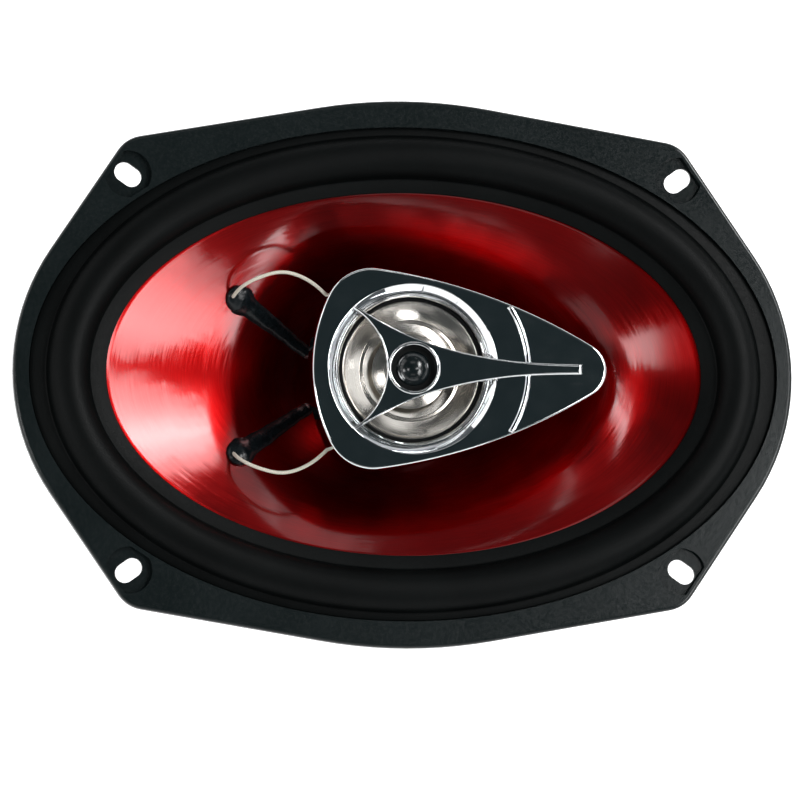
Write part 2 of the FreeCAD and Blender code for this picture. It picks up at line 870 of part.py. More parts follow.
def mid_cap():
    """Domed cap over the midrange coil."""
    return dome_shell(mid_cap_radius, mid_cap_base, mid_cap_rise, 0.4)


def half_roll_ring(r0, r1, z, thickness):
    """Small half-roll suspension between two radii."""
    middle = (r0 + r1) / 2
    rise = (r1 - r0) / 2
    outer = arc(V(r0, 0, z), V(middle, 0, z + rise), V(r1, 0, z))
    inner = arc(V(r0 + thickness, 0, z), V(middle, 0, z + rise - thickness), V(r1 - thickness, 0, z))
    feet = [
        line(V(r0, 0, z), V(r0 + thickness, 0, z)),
        line(V(r1 - thickness, 0, z), V(r1, 0, z)),
    ]
    return lathe_wire([outer, inner] + feet)


def mid_surround():
    return half_roll_ring(mid_cone_radius, mid_trim_radii[0], mid_rim_z + mid_rim_height, 0.3)


def mid_trim_ring():
    """Stepped chrome ring round the midrange cone."""
    inner, outer = mid_trim_radii
    low, top = mid_rim_z + mid_rim_height, pod_face_z - 2.0
    return lathe([
        (inner, low), (outer, low), (outer, top - 0.6), (outer - 0.4, top),
        (inner + 0.5, top), (inner + 0.3, top - 0.9), (inner, top - 1.2),
    ])


# ---- star and tweeter -----------------------------------------------------------------

def star_outline():
    """Three-armed star with hollow sides; its right arm runs out along the pod's face."""
    upper = Part.BSplineCurve()
    upper.interpolate([
        V(star_tip[0], star_tip[1], 0), V(0, 9.2, 0), V(9.2, 6.2, 0),
        V(25.2, 2.95, 0), V(star_arm_end, star_arm_half_width, 0),
    ])
    tip_low = V(star_tip[0] - 0.6, star_tip[1] - 0.7, 0)
    lower_tip = V(tip_low.x, -tip_low.y, 0)
    lower = upper.toShape().mirror(V(0, 0, 0), V(0, 1, 0))
    edges = [
        upper.toShape(), lower,
        line(V(star_arm_end, star_arm_half_width, 0), V(star_arm_end, -star_arm_half_width, 0)),
        line(V(star_tip[0], star_tip[1], 0), tip_low),
        line(V(star_tip[0], -star_tip[1], 0), lower_tip),
        arc(tip_low, V(-star_waist, 0, 0), lower_tip),
    ]
    return Part.Wire(Part.__sortEdges__(edges))


def star():
    """Chrome star with a socket under its middle for the tweeter."""
    body = prism(star_outline(), pod_face_z, star_top)
    body = body.makeChamfer(star_bevel, flat_edges(body, star_top))
    socket = disc(star_waist, tweeter_back - 0.4, pod_face_z)
    body = fuse([body, socket])
    body = body.cut(disc(tweeter_cup_radius + 0.02, tweeter_back, tweeter_lip + 0.2))
    body = body.cut(disc(tweeter_cup_radius + 0.6, tweeter_lip + 0.2, star_top + 1))
    trench = ring(rib_radii[0] - 0.05, rib_radii[1] + 0.05, 0, pod_face_z + rib_height + 0.02)
    return body.cut(trench)


def tweeter_cup():
    """Steel cup that closes the tweeter's magnetic circuit."""
    inner = tweeter_dome_radius + 0.25
    wall = ring(inner, tweeter_cup_radius, tweeter_back, tweeter_lip)
    return fuse([wall, disc(inner, tweeter_back, tweeter_back + tweeter_cup_floor)])


def tweeter_magnet():
    radius, height = tweeter_magnet_size
    low = tweeter_back + tweeter_cup_floor
    return disc(radius, low, low + height)


def tweeter_plate():
    radius, height = tweeter_plate_size
    low = tweeter_back + tweeter_cup_floor + tweeter_magnet_size[1]
    return disc(radius, low, low + height)


def tweeter_coil():
    inner = tweeter_dome_radius - tweeter_coil_wall
    return ring(inner, tweeter_dome_radius, tweeter_lip - tweeter_coil_depth, tweeter_lip)


def tweeter_dome():
    """Thin dome that radiates the treble."""
    return dome_shell(tweeter_dome_radius, tweeter_lip, tweeter_dome_rise, 0.25)


def tweeter_surround():
    """Soft ring between the dome and the rim of the cup."""
    return ring(tweeter_dome_radius, tweeter_cup_radius - 0.1, tweeter_lip, tweeter_lip + 0.2)


def tweeter_ring():
    """Chrome ring that clamps the dome's edge and frames it."""
    low, top = tweeter_lip + 0.2, star_top + tweeter_ring_height
    sleeve = tweeter_cup_radius + 0.55
    return lathe([
        (tweeter_well, low), (sleeve, low), (sleeve, star_top), (tweeter_ring_radius, star_top),
        (tweeter_ring_radius, top - 0.3), (tweeter_ring_radius - 0.3, top),
        (tweeter_well + 0.5, top), (tweeter_well, top - 0.5),
    ])


# ---- glue, eyelets and leads ----------------------------------------------------------

def glue_point(side):
    x, y = glue_at[0], side * glue_at[1]
    return V(x, y, cone_height(x, y))


def eyelet_core(side):
    """Round hole through the cone for an eyelet."""
    at = glue_point(side)
    return disc(eyelet_radius, at.z - 4, at.z + 4, (at.x, at.y))


def eyelets():
    """Two brass eyelets through the cone, under the glue."""
    pins = []
    for side in SIDES.values():
        at = glue_point(side)
        low, high = eyelet_reach
        pins.append(disc(eyelet_radius, at.z + low, at.z + high, (at.x, at.y)))
    return Part.makeCompound(pins)


def glue(side):
    """Blob over an eyelet, with a tapering trail over the coil's wire."""
    start = glue_point(side)
    end = V(glue_trail_end[0], side * glue_trail_end[1], 0)
    end.z = cone_height(end.x, end.y) + glue_sink
    way = end - start
    wide, narrow = glue_trail_radii
    blob = Part.makeSphere(glue_radius, start - V(0, 0, glue_sink))
    trail = Part.makeCone(wide, narrow, way.Length, start, way)
    tail = Part.makeSphere(narrow, end)
    body = fuse([blob, trail, tail]).common(cone_dish(0))
    return body.cut(disc(eyelet_radius, start.z - 9, start.z + eyelet_reach[1], (start.x, start.y)))


def front_lead_route(side):
    """Braided lead from a glue blob, out and up in a bow, and back into the pod's base."""
    blob = glue_point(side)
    return [
        (blob.x - 2.3, side * 23.4, blob.z + 2.4),
        (blob.x - 1.4, side * 25.4, blob.z + 6.6),
        (-45.0, side * 28.4, 1.6),
        (-37.2, side * 30.6, 4.0),
        (-29.5, side * 27.9, 4.8),
        (-23.4, side * 22.6, 4.6),
        (-18.4, side * 17.4, 4.4),
    ]


def front_lead(side):
    return tube_along(front_lead_route(side), lead_radius).cut(glue(side))


def rear_lead_route(side):
    """Lead from behind an eyelet, down in a slack bow to its terminal tab."""
    blob = glue_point(side)
    return [
        (blob.x, blob.y, blob.z + eyelet_reach[0]),
        (blob.x, blob.y, blob.z - 9.0),
        (-52.5, side * 21.0, -24.5),
        (-58.5, side * 16.0, -29.5),
        (-63.0, side * 10.0, -30.5),
        (-64.3, side * 6.8, -32.0),
        (-64.3, side * 6.8, board_z[1] + tab_thickness),
    ]


def rear_lead(side):
    return tube_along(rear_lead_route(side), lead_radius)


# ---- terminals ------------------------------------------------------------------------

def board_rivets():
    """Two rivets that hold the terminal board to the basket's ear."""
    x, y = board_rivet_at
    return Part.makeCompound([
        rivet(**board_rivet, z0=board_z[0], z1=landing_z, at=(x, side * y)) for side in SIDES.values()
    ])


def tab_rivets():
    """Two rivets that hold the tabs to the board."""
    top = board_z[1] + tab_thickness
    return Part.makeCompound([
        rivet(**tab_rivet, z0=board_z[0], z1=top, at=(tab_rivet_x, y)) for y in tab_y.values()
    ])


def terminal_board():
    """Fibre strip with chamfered outer corners."""
    low, high = board_z
    body = box(board_x[0], board_x[1], -board_half_width, board_half_width, low, high)
    upright = [e for e in body.Edges if e.BoundBox.ZLength > 1 and e.BoundBox.XMax < board_x[0] + 1]
    body = body.makeChamfer(3.0, upright)
    return body.cut(board_rivets()).cut(tab_rivets())


def terminal_tab(name):
    """Flat push-on tab with a bevelled nose and a locking hole."""
    half = tab_widths[name] / 2
    y = tab_y[name]
    low = board_z[1]
    body = box(tab_x[0], tab_x[1], y - half, y + half, low, low + tab_thickness)
    nose = [e for e in body.Edges if e.BoundBox.ZLength > 0.5 and e.BoundBox.XMax < tab_x[0] + 1]
    body = body.makeChamfer(tab_nose, nose)
    lock_hole = disc(lock_hole_radius, low - 1, low + 2, (tab_x[0] + lock_hole_from_end, y))
    return body.cut(lock_hole).cut(tab_rivets())


# ---- all pieces -----------------------------------------------------------------------

PIECES = {
    "basket": basket,
    "surround": surround,
    "cone": cone,
    "spider": spider,
    "voice_coil_former": voice_coil_former,
    "voice_coil_winding": voice_coil_winding,
    "top_plate": top_plate,
    "magnet": magnet,
    "yoke": yoke,
    "magnet_boot": magnet_boot,
    "motor_rivets": motor_rivets,
    "post": post,
    "post_screw": post_screw,
    "pod_screw": pod_screw,
    "pod_bezel": pod_bezel,
    "pod_base": pod_base,
    "pod_case_screws": pod_case_screws,
    "midrange_capacitor": midrange_capacitor,
    "tweeter_capacitor": tweeter_capacitor,
    "mid_frame": mid_frame,
    "mid_yoke": mid_yoke,
    "mid_magnet": mid_magnet,
    "mid_top_plate": mid_top_plate,
    "mid_former": mid_former,
    "mid_winding": mid_winding,
    "mid_spider": mid_spider,
    "mid_cone": mid_cone,
    "mid_cap": mid_cap,
    "mid_surround": mid_surround,
    "mid_trim_ring": mid_trim_ring,
    "star": star,
    "tweeter_cup": tweeter_cup,
    "tweeter_magnet": tweeter_magnet,
    "tweeter_plate": tweeter_plate,
    "tweeter_coil": tweeter_coil,
    "tweeter_dome": tweeter_dome,
    "tweeter_surround": tweeter_surround,
    "tweeter_ring": tweeter_ring,
    "eyelets": eyelets,
    "terminal_board": terminal_board,
    "board_rivets": board_rivets,
    "tab_rivets": tab_rivets,
}

os.makedirs("parts", exist_ok=True)


def write(name, shape):
    bounds = shape.BoundBox
    print("%-22s %2d solids valid %s  z %.2f..%.2f  volume %.1f" % (
        name, len(shape.Solids), shape.isValid(), bounds.ZMin, bounds.ZMax, shape.Volume))
    shape.exportStep("parts/" + name + ".step")


for name, make in PIECES.items():
    write(name, make())
for name, side in SIDES.items():
    write("glue_" + name, glue(side))
    write("front_lead_" + name, front_lead(side))
    write("rear_lead_" + name, rear_lead(side))
for name in tab_widths:
    write("terminal_tab_" + name, terminal_tab(name))
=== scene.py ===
"""Looks for an oval three-way coaxial car speaker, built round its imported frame.

Shapes are worked out in millimetres and turned into metres as each mesh is made.
+Z is the speaker's axis, out of its front. X is its long way and Y its short way.
"""

import json
from math import asin, atan2, cos, hypot, pi, radians, sin, sqrt, tan

import bmesh
import bpy
import numpy as np
from mathutils import Matrix, Vector, noise


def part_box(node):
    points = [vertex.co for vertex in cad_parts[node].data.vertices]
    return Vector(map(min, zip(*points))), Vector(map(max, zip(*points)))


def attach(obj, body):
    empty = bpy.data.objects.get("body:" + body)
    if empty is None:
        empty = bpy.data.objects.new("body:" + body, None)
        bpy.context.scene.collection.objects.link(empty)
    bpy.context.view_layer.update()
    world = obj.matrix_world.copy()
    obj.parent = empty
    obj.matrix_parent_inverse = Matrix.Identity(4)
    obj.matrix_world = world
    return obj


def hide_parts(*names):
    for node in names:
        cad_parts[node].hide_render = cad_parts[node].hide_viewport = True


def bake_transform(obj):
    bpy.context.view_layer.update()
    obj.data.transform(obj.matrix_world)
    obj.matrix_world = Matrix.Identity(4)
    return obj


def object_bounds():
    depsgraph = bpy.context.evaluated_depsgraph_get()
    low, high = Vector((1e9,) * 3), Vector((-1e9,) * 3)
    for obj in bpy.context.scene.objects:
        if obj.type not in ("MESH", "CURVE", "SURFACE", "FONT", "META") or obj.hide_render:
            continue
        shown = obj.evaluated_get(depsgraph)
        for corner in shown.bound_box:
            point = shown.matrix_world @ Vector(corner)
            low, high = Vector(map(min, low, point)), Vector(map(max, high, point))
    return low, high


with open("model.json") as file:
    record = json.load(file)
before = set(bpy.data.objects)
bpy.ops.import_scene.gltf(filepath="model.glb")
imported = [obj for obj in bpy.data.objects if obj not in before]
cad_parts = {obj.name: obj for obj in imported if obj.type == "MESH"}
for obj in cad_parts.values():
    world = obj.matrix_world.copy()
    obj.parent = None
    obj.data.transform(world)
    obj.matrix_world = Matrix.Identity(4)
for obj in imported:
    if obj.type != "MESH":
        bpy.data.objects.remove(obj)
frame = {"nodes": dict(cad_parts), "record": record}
cad_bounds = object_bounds()

MM = 0.001
SIDES = {"upper": 1, "lower": -1}


def low(node):
    """Lowest corner of a CAD node, in millimetres."""
    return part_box(node)[0] / MM


def high(node):
    """Highest corner of a CAD node, in millimetres."""
    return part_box(node)[1] / MM


# Woofer cone and suspension
rim_half = (high("cone").x, high("cone").y)
cone_half = (rim_half[0] - 4.6, rim_half[1] - 3.9)
cone_rim_z = high("cone").z
collar_z = low("cone").z
cone_neck_z = collar_z + 4.0
coil_radius = high("voice_coil_former").x
neck_radius = coil_radius + 0.7
cone_flare = 0.25
cone_thickness = 0.9
lip_outer_half = (high("surround").x, high("surround").y)
lip_inner_half = (cone_half[0] - 0.2, cone_half[1] - 0.2)
lip_thickness = 0.8
roll_half = (lip_outer_half[0] - 11.5, lip_outer_half[1] - 8.9)
roll_outer = high("surround").z - low("surround").z
roll_inner = roll_outer - 0.7
spider_z = high("basket").z - 38.8

# Pod face
pod_left = low("pod_bezel").x
pod_tip = high("pod_bezel").x
pod_joint_z = low("pod_bezel").z
rib_height = 0.7
face_z = high("pod_bezel").z - rib_height
pod_left_radius = 50.0
pod_left_angle = radians(26.1)
pod_corner_radius = 14.3
pod_side_radius = 168.5
pod_tip_radius = 8.4
pod_wall = 1.6
pod_edge = 0.8
rib_radii = (33.7, 35.3)

# Midrange
trim_outer = high("mid_trim_ring").x
trim_inner = trim_outer - 1.55
trim_low = low("mid_trim_ring").z
funnel_inner = trim_outer + 0.1
funnel_outer = funnel_inner + 1.9
mid_cone_radius = high("mid_cone").x
mid_neck_radius = high("mid_former").x
mid_cap_radius = high("mid_cap").x

# Star and tweeter
star_low = low("star").z
star_top = high("star").z
star_tip = (low("star").x + 0.6, high("star").y)
star_arm_end = high("star").x
star_arm_half_width = 1.5
star_waist = 8.05
star_edge = 0.65
tweeter_cup_radius = high("tweeter_cup").x

# Glue and leads
glue_at = (-48.7, 23.0)
glue_radius = 4.2
glue_trail_end = (-27.0, 8.6)
lead_radius = 0.55
tab_top = high("terminal_tab_positive").z

FINE = 360
SMALL = 192
SHARP_ANGLE = radians(50)


# Mesh helpers

def new_object(name, data):
    made = bpy.data.objects.new(name, data)
    bpy.context.scene.collection.objects.link(made)
    return made


def piece_from(name, build):
    """New mesh object from a bmesh in millimetres, its faces turned outwards."""
    bmesh.ops.recalc_face_normals(build, faces=build.faces)
    bmesh.ops.scale(build, vec=(MM, MM, MM), verts=build.verts)
    mesh = bpy.data.meshes.new(name)
    build.to_mesh(mesh)
    build.free()
    mesh.shade_smooth()
    mesh.set_sharp_from_angle(angle=SHARP_ANGLE)
    return new_object(name, mesh)


def skin(name, loops, closed=True):
    """Joins loops of points into a surface. If closed, the last loop joins the first.

    Its UV map runs round the loops and from the first loop to the last.
    """
    build = bmesh.new()
    uv_layer = build.loops.layers.uv.new("round")
    rows = [[build.verts.new(point) for point in loop] for loop in loops]
    count = len(loops[0])
    last = len(rows) if closed else len(rows) - 1
    for j in range(last):
        near, far = rows[j], rows[(j + 1) % len(rows)]
        for i in range(count):
            k = (i + 1) % count
            face = build.faces.new((near[i], near[k], far[k], far[i]))
            places = ((i, j), (i + 1, j), (i + 1, j + 1), (i, j + 1))
            for corner, (u, v) in zip(face.loops, places):
                corner[uv_layer].uv = (u / count, v / last)
    if not closed:
        for row in (rows[0], rows[-1]):
            bmesh.ops.remove_doubles(build, verts=[v for v in row if v.is_valid], dist=1e-5)
    return piece_from(name, build)


def joined_rows(build, loops):
    """Rows of vertices for closed loops of points, with faces between neighbouring rows."""
    rows = [[build.verts.new(point) for point in loop] for loop in loops]
    for near, far in zip(rows, rows[1:]):
        for i in range(len(near)):
            k = (i + 1) % len(near)
            build.faces.new((near[i], near[k], far[k], far[i]))
    return rows


def capped_tube(name, loops):
    """Tube through the loops, closed at both ends."""
    build = bmesh.new()
    rows = joined_rows(build, loops)
    build.faces.new(rows[0])
    build.faces.new(rows[-1])
    return piece_from(name, build)


def oval(half, z, count=FINE):
    angles = [2 * pi * i / count for i in range(count)]
    return [(half[0] * cos(a), half[1] * sin(a), z) for a in angles]


def circle(radius, z, count=SMALL):
    return oval((radius, radius), z, count)


def lathe(name, profile, closed=True):
    """Solid of revolution from (radius, z) points. An open profile ends on the axis."""
    return skin(name, [circle(r, z) for r, z in profile], closed)


def rounded(corners, steps=4):
    """Closed outline with each (x, y, radius) corner rounded to its radius."""
    outline = []
    for i, (x, y, radius) in enumerate(corners):
        here = Vector((x, y))
        back = (Vector(corners[i - 1][:2]) - here).normalized()
        ahead = (Vector(corners[(i + 1) % len(corners)][:2]) - here).normalized()
        half_angle = back.angle(ahead) / 2
        if radius == 0 or half_angle > radians(89):
            outline.append((x, y))
            continue
        centre = here + (back + ahead).normalized() * radius / sin(half_angle)
        start = here + back * radius / tan(half_angle) - centre
        end = here + ahead * radius / tan(half_angle) - centre
        for step in range(steps + 1):
            share = step / steps
            spoke = (start * (1 - share) + end * share).normalized() * radius
            outline.append(tuple(centre + spoke))
    return outline


def arc_points(centre, radius, start, end, steps):
    """Points on an arc between two angles, both ends included."""
    angles = [start + (end - start) * i / steps for i in range(steps + 1)]
    return [(centre[0] + radius * cos(a), centre[1] + radius * sin(a)) for a in angles]


def even_shading(piece):
    """Lets large flat faces set the shading beside small rounded edges."""
    modifier = piece.modifiers.new("even_shading", "WEIGHTED_NORMAL")
    modifier.keep_sharp = True
    modifier.weight = 100
    return piece


def dress(piece, slot, *stands_for, body="chassis"):
    """Gives a new piece its material and its body, and hides the CAD nodes that it stands for."""
    piece.data.materials.append(looks[slot])
    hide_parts(*stands_for)
    if body:
        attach(piece, body)
    return piece


def dress_soft(piece, slot, node):
    """Dresses a piece without a body, with its placing baked into its points."""
    dress(piece, slot, node, body=None)
    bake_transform(piece)
    return piece


def ease(share):
    """Smooth step from 0 to 1."""
    share = min(max(share, 0.0), 1.0)
    return share * share * (3 - 2 * share)


# Materials

class Look:
    """A material under construction. Lengths are in millimetres."""

    def __init__(self, name):
        self.material = bpy.data.materials.new(name)
        self.material.use_nodes = True
        self.tree = self.material.node_tree
        self.shader = self.tree.nodes["Principled BSDF"]
        self.height = None
        place = self.add("ShaderNodeTexCoord").outputs["Object"]
        self.place = self.vector("MULTIPLY", place, (1 / MM, 1 / MM, 1 / MM))

    def add(self, kind, **settings):
        node = self.tree.nodes.new(kind)
        for key, value in settings.items():
            setattr(node, key, value)
        return node

    def join(self, socket, value):
        """Links a socket, or sets a plain value."""
        if isinstance(value, bpy.types.NodeSocket):
            self.tree.links.new(value, socket)
        elif hasattr(value, "__len__") and len(value) == 3 and socket.type == "RGBA":
            socket.default_value = (*value, 1.0)
        else:
            socket.default_value = value

    def set(self, name, value):
        self.join(self.shader.inputs[name], value)

    def math(self, operation, first, second=0.0, kind="ShaderNodeMath"):
        node = self.add(kind, operation=operation)
        self.join(node.inputs[0], first)
        self.join(node.inputs[1], second)
        return node.outputs[0]

    def vector(self, operation, first, second):
        return self.math(operation, first, second, "ShaderNodeVectorMath")

    def noise(self, size, detail=2.0, stretch=(1, 1, 1), place=None):
        """Noise from 0 to 1 whose features are about size long, or longer where stretched."""
        scale = tuple(1 / (size * s) for s in stretch)
        node = self.add("ShaderNodeTexNoise")
        self.join(node.inputs["Vector"], self.vector("MULTIPLY", place or self.place, scale))
        node.inputs["Scale"].default_value = 1.0
        node.inputs["Detail"].default_value = detail
        return self.range(node.outputs[0], 0, 1, 0.3, 0.7)

    def range(self, value, low_end, high_end, from_low=0.0, from_high=1.0):
        node = self.add("ShaderNodeMapRange")
        self.join(node.inputs["Value"], value)
        node.inputs["From Min"].default_value = from_low
        node.inputs["From Max"].default_value = from_high
        self.join(node.inputs["To Min"], low_end)
        self.join(node.inputs["To Max"], high_end)
        return node.outputs[0]

    def colour(self, share, first, second):
        """Base colour that runs from the first colour to the second."""
        node = self.add("ShaderNodeMix", data_type="RGBA")
        colours = [socket for socket in node.inputs if socket.type == "RGBA"]
        self.join(node.inputs["Factor"], share)
        self.join(colours[0], first)
        self.join(colours[1], second)
        self.set("Base Color", next(socket for socket in node.outputs if socket.type == "RGBA"))

    def roughness(self, share, first, second, share_end=1.0):
        """Roughness that runs from the first value to the second."""
        self.set("Roughness", self.range(share, first, second, 0.0, share_end))

    def wave(self, size, axis="Z"):
        """Sine stripes across one axis, from 0 to 1."""
        split = self.add("ShaderNodeSeparateXYZ")
        self.join(split.inputs[0], self.place)
        phase = self.math("MULTIPLY", split.outputs[axis], 2 * pi / size)
        return self.range(self.math("SINE", phase), 0, 1, -1, 1)

    def bump(self, height, depth):
        """Adds relief. Several calls stack up."""
        node = self.add("ShaderNodeBump")
        node.inputs["Distance"].default_value = depth * MM
        self.join(node.inputs["Height"], height)
        if self.height:
            self.join(node.inputs["Normal"], self.height)
        self.height = node.outputs[0]
        self.set("Normal", self.height)


def black_steel(look):
    """Pressed steel under glossy black enamel, with faint orange peel and dust."""
    cloud = look.noise(22, 3)
    dust = look.noise(0.9, 4)
    look.colour(cloud, (0.0045, 0.0075, 0.0078), (0.0080, 0.0115, 0.0120))
    look.roughness(dust, 0.16, 0.26)
    look.set("Specular IOR Level", 0.4)
    look.bump(look.noise(1.6, 1), 0.006)
    look.bump(look.noise(0.35, 1), 0.0015)


def surround_rubber(look):
    """Matte black rubber with a fine moulded grain."""
    grain = look.noise(0.45, 3)
    look.colour(look.noise(18, 3), (0.0008, 0.0013, 0.0013), (0.0020, 0.0028, 0.0028))
    look.roughness(grain, 0.42, 0.56)
    look.set("Specular IOR Level", 0.10)
    look.bump(grain, 0.02)


def red_cone(look):
    """Red metallised film with fine rings brushed into it, under a clear coat."""
    look.set("Metallic", 1.0)
    uv = look.add("ShaderNodeUVMap", uv_map="round").outputs[0]
    across = look.add("ShaderNodeSeparateXYZ")
    look.join(across.inputs[0], uv)
    way_out = look.vector("NORMALIZE", look.vector("MULTIPLY", look.place, (1, 1, 0)), (0, 0, 0))
    along = look.vector("CROSS_PRODUCT", (0, 0, 1), way_out)
    rings = look.add("ShaderNodeCombineXYZ")
    look.join(rings.inputs["Z"], look.math("MULTIPLY", across.outputs["Y"], 500.0))
    brushed = look.vector("ADD", look.vector("MULTIPLY", way_out, (6, 6, 0)), rings.outputs[0])
    streaks = look.noise(1.0, 3, place=brushed)
    mottle = look.noise(9, 2)
    look.colour(streaks, (0.22, 0.0, 0.0003), (0.31, 0.0003, 0.0006))
    look.roughness(mottle, 0.29, 0.33)
    look.set("Anisotropic", 0.6)
    look.set("Tangent", way_out)
    look.set("Coat Weight", 0.8)
    look.set("Coat Roughness", look.range(streaks, 0.08, 0.13))

    # Each brushed ring leans a little along itself, which frays the reflections' ends.
    lean = look.range(streaks, -0.018, 0.018)
    sway = look.range(mottle, -0.008, 0.008)
    scaled = look.add("ShaderNodeVectorMath", operation="SCALE")
    look.join(scaled.inputs[0], along)
    look.join(scaled.inputs["Scale"], look.math("ADD", lean, sway))
    normal = look.add("ShaderNodeNewGeometry").outputs["Normal"]
    frayed = look.vector("NORMALIZE", look.vector("ADD", normal, scaled.outputs[0]), (0, 0, 0))
    look.set("Normal", frayed)
    look.set("Coat Normal", frayed)


def spider_cloth(look):
    """Woven, resin-stiffened cotton."""
    thread = 0.55
    weave = look.math("MULTIPLY", look.wave(thread, "X"), look.wave(thread, "Y"))
    fibres = look.noise(0.2, 3)
    look.colour(weave, (0.36, 0.22, 0.06), (0.66, 0.47, 0.20))
    look.roughness(fibres, 0.7, 0.95)
    look.bump(weave, 0.12)
    look.bump(fibres, 0.03)


def former_aluminium(look):
    """Thin rolled aluminium with lines round it."""
    look.set("Metallic", 1.0)
    lines = look.noise(0.3, 2, stretch=(40, 40, 1))
    look.colour(lines, (0.62, 0.62, 0.63), (0.80, 0.80, 0.81))
    look.roughness(lines, 0.22, 0.4)
    look.bump(lines, 0.01)


def copper_wire(look):
    """Close turns of enamelled copper wire."""
    look.set("Metallic", 1.0)
    turns = look.wave(0.28)
    look.colour(turns, (0.30, 0.10, 0.04), (0.78, 0.32, 0.14))
    look.roughness(look.noise(2, 2), 0.2, 0.36)
    look.bump(turns, 0.08)


def zinc_steel(look):
    """Zinc-plated steel, faintly yellow, with a soft crystalline bloom."""
    look.set("Metallic", 1.0)
    bloom = look.noise(4, 4)
    scratches = look.noise(0.5, 3, stretch=(8, 1, 1))
    look.colour(bloom, (0.52, 0.51, 0.47), (0.68, 0.67, 0.62))
    look.roughness(look.math("ADD", bloom, scratches), 0.26, 0.46, 2)
    look.bump(scratches, 0.004)


def ferrite(look):
    """Ground charcoal ferrite with fine pits."""
    pits = look.noise(0.5, 4)
    look.colour(look.noise(9, 4), (0.030, 0.030, 0.033), (0.060, 0.060, 0.063))
    look.roughness(pits, 0.5, 0.72)
    look.bump(pits, 0.05)


def boot_rubber(look):
    """Soft black moulded rubber, a little dusty."""
    dust = look.noise(7, 5)
    look.colour(dust, (0.012, 0.013, 0.014), (0.030, 0.031, 0.033))
    look.roughness(dust, 0.42, 0.62)
    look.bump(look.noise(0.4, 2), 0.02)


def dark_screw(look):
    """Black-oxide steel, rubbed at its high spots."""
    look.set("Metallic", 1.0)
    rubbed = look.noise(0.8, 4)
    look.colour(rubbed, (0.05, 0.05, 0.055), (0.16, 0.16, 0.17))
    look.roughness(rubbed, 0.3, 0.5)
    look.bump(rubbed, 0.01)


def chrome_plastic(look):
    """Bright chrome plate on moulded plastic, with a slow ripple and hairline scratches."""
    look.set("Metallic", 1.0)
    hairlines = look.noise(0.25, 3, stretch=(30, 1, 1))
    haze = look.noise(6, 4)
    look.colour(haze, (0.86, 0.88, 0.89), (0.93, 0.94, 0.95))
    look.roughness(look.math("MULTIPLY", hairlines, haze), 0.03, 0.10)
    look.bump(look.noise(9, 1), 0.012)
    look.bump(look.noise(1.6, 2), 0.0010)


def black_plastic(look):
    """Moulded black plastic with a spark-eroded grain."""
    grain = look.noise(0.35, 3)
    look.colour(look.noise(12, 3), (0.006, 0.007, 0.008), (0.014, 0.015, 0.017))
    look.roughness(grain, 0.42, 0.58)
    look.set("Specular IOR Level", 0.2)
    look.bump(grain, 0.03)


def capacitor_sleeve(look):
    """Shrunk dark-blue sleeve with faint wrinkles along the can."""
    wrinkles = look.noise(1.2, 3, stretch=(1, 8, 1))
    look.colour(wrinkles, (0.012, 0.018, 0.055), (0.022, 0.032, 0.090))
    look.roughness(wrinkles, 0.22, 0.4)
    look.set("Coat Weight", 0.4)
    look.bump(wrinkles, 0.03)


def silver_cone(look):
    """Spun, warm silver film with fine rings."""
    look.set("Metallic", 1.0)
    flat = look.vector("MULTIPLY", look.place, (1, 1, 0))
    length = look.add("ShaderNodeVectorMath", operation="LENGTH")
    look.join(length.inputs[0], flat)
    rings = look.add("ShaderNodeCombineXYZ")
    look.join(rings.inputs["X"], length.outputs["Value"])
    lines = look.noise(0.3, 2, place=rings.outputs[0])
    haze = look.noise(5, 2)
    look.colour(lines, (0.62, 0.58, 0.53), (0.74, 0.70, 0.65))
    look.roughness(haze, 0.14, 0.22)
    look.bump(lines, 0.0012)
    look.bump(look.noise(7, 1), 0.02)


def neodymium(look):
    """Nickel-plated magnet."""
    look.set("Metallic", 1.0)
    spots = look.noise(1.0, 4)
    look.colour(spots, (0.62, 0.60, 0.56), (0.74, 0.72, 0.68))
    look.roughness(spots, 0.14, 0.3)
    look.bump(spots, 0.005)


def black_dome(look):
    """Glossy black polymer film."""
    cloud = look.noise(2.5, 2)
    look.colour(cloud, (0.003, 0.005, 0.006), (0.006, 0.010, 0.011))
    look.roughness(cloud, 0.16, 0.24)
    look.set("Specular IOR Level", 0.3)
    look.set("Coat Weight", 0.5)
    look.set("Coat Roughness", 0.12)
    look.bump(cloud, 0.004)


def brass_eyelet(look):
    """Dull brass."""
    look.set("Metallic", 1.0)
    tarnish = look.noise(0.8, 4)
    look.colour(tarnish, (0.42, 0.28, 0.10), (0.72, 0.55, 0.26))
    look.roughness(tarnish, 0.45, 0.25)
    look.bump(tarnish, 0.006)


def fibre_board(look):
    """Laminated paper board with pressed fibres."""
    fibres = look.noise(0.3, 4, stretch=(6, 1, 1))
    look.colour(fibres, (0.060, 0.030, 0.015), (0.130, 0.070, 0.038))
    look.roughness(fibres, 0.55, 0.8)
    look.bump(fibres, 0.03)


def black_glue(look):
    """Hand-laid black rubber cement, glossy and uneven."""
    swell = look.noise(1.8, 2)
    look.colour(swell, (0.003, 0.005, 0.006), (0.008, 0.011, 0.013))
    look.roughness(look.noise(0.6, 3), 0.14, 0.26)
    look.set("Specular IOR Level", 0.25)
    look.bump(swell, 0.025)
    look.bump(look.noise(0.5, 2), 0.003)


def tinsel_braid(look):
    """Tinned tinsel strands, braided over cotton."""
    strands = look.noise(0.16, 3)
    look.colour(strands, (0.62, 0.56, 0.44), (0.93, 0.90, 0.80))
    look.roughness(strands, 0.6, 0.36)
    look.bump(strands, 0.03)


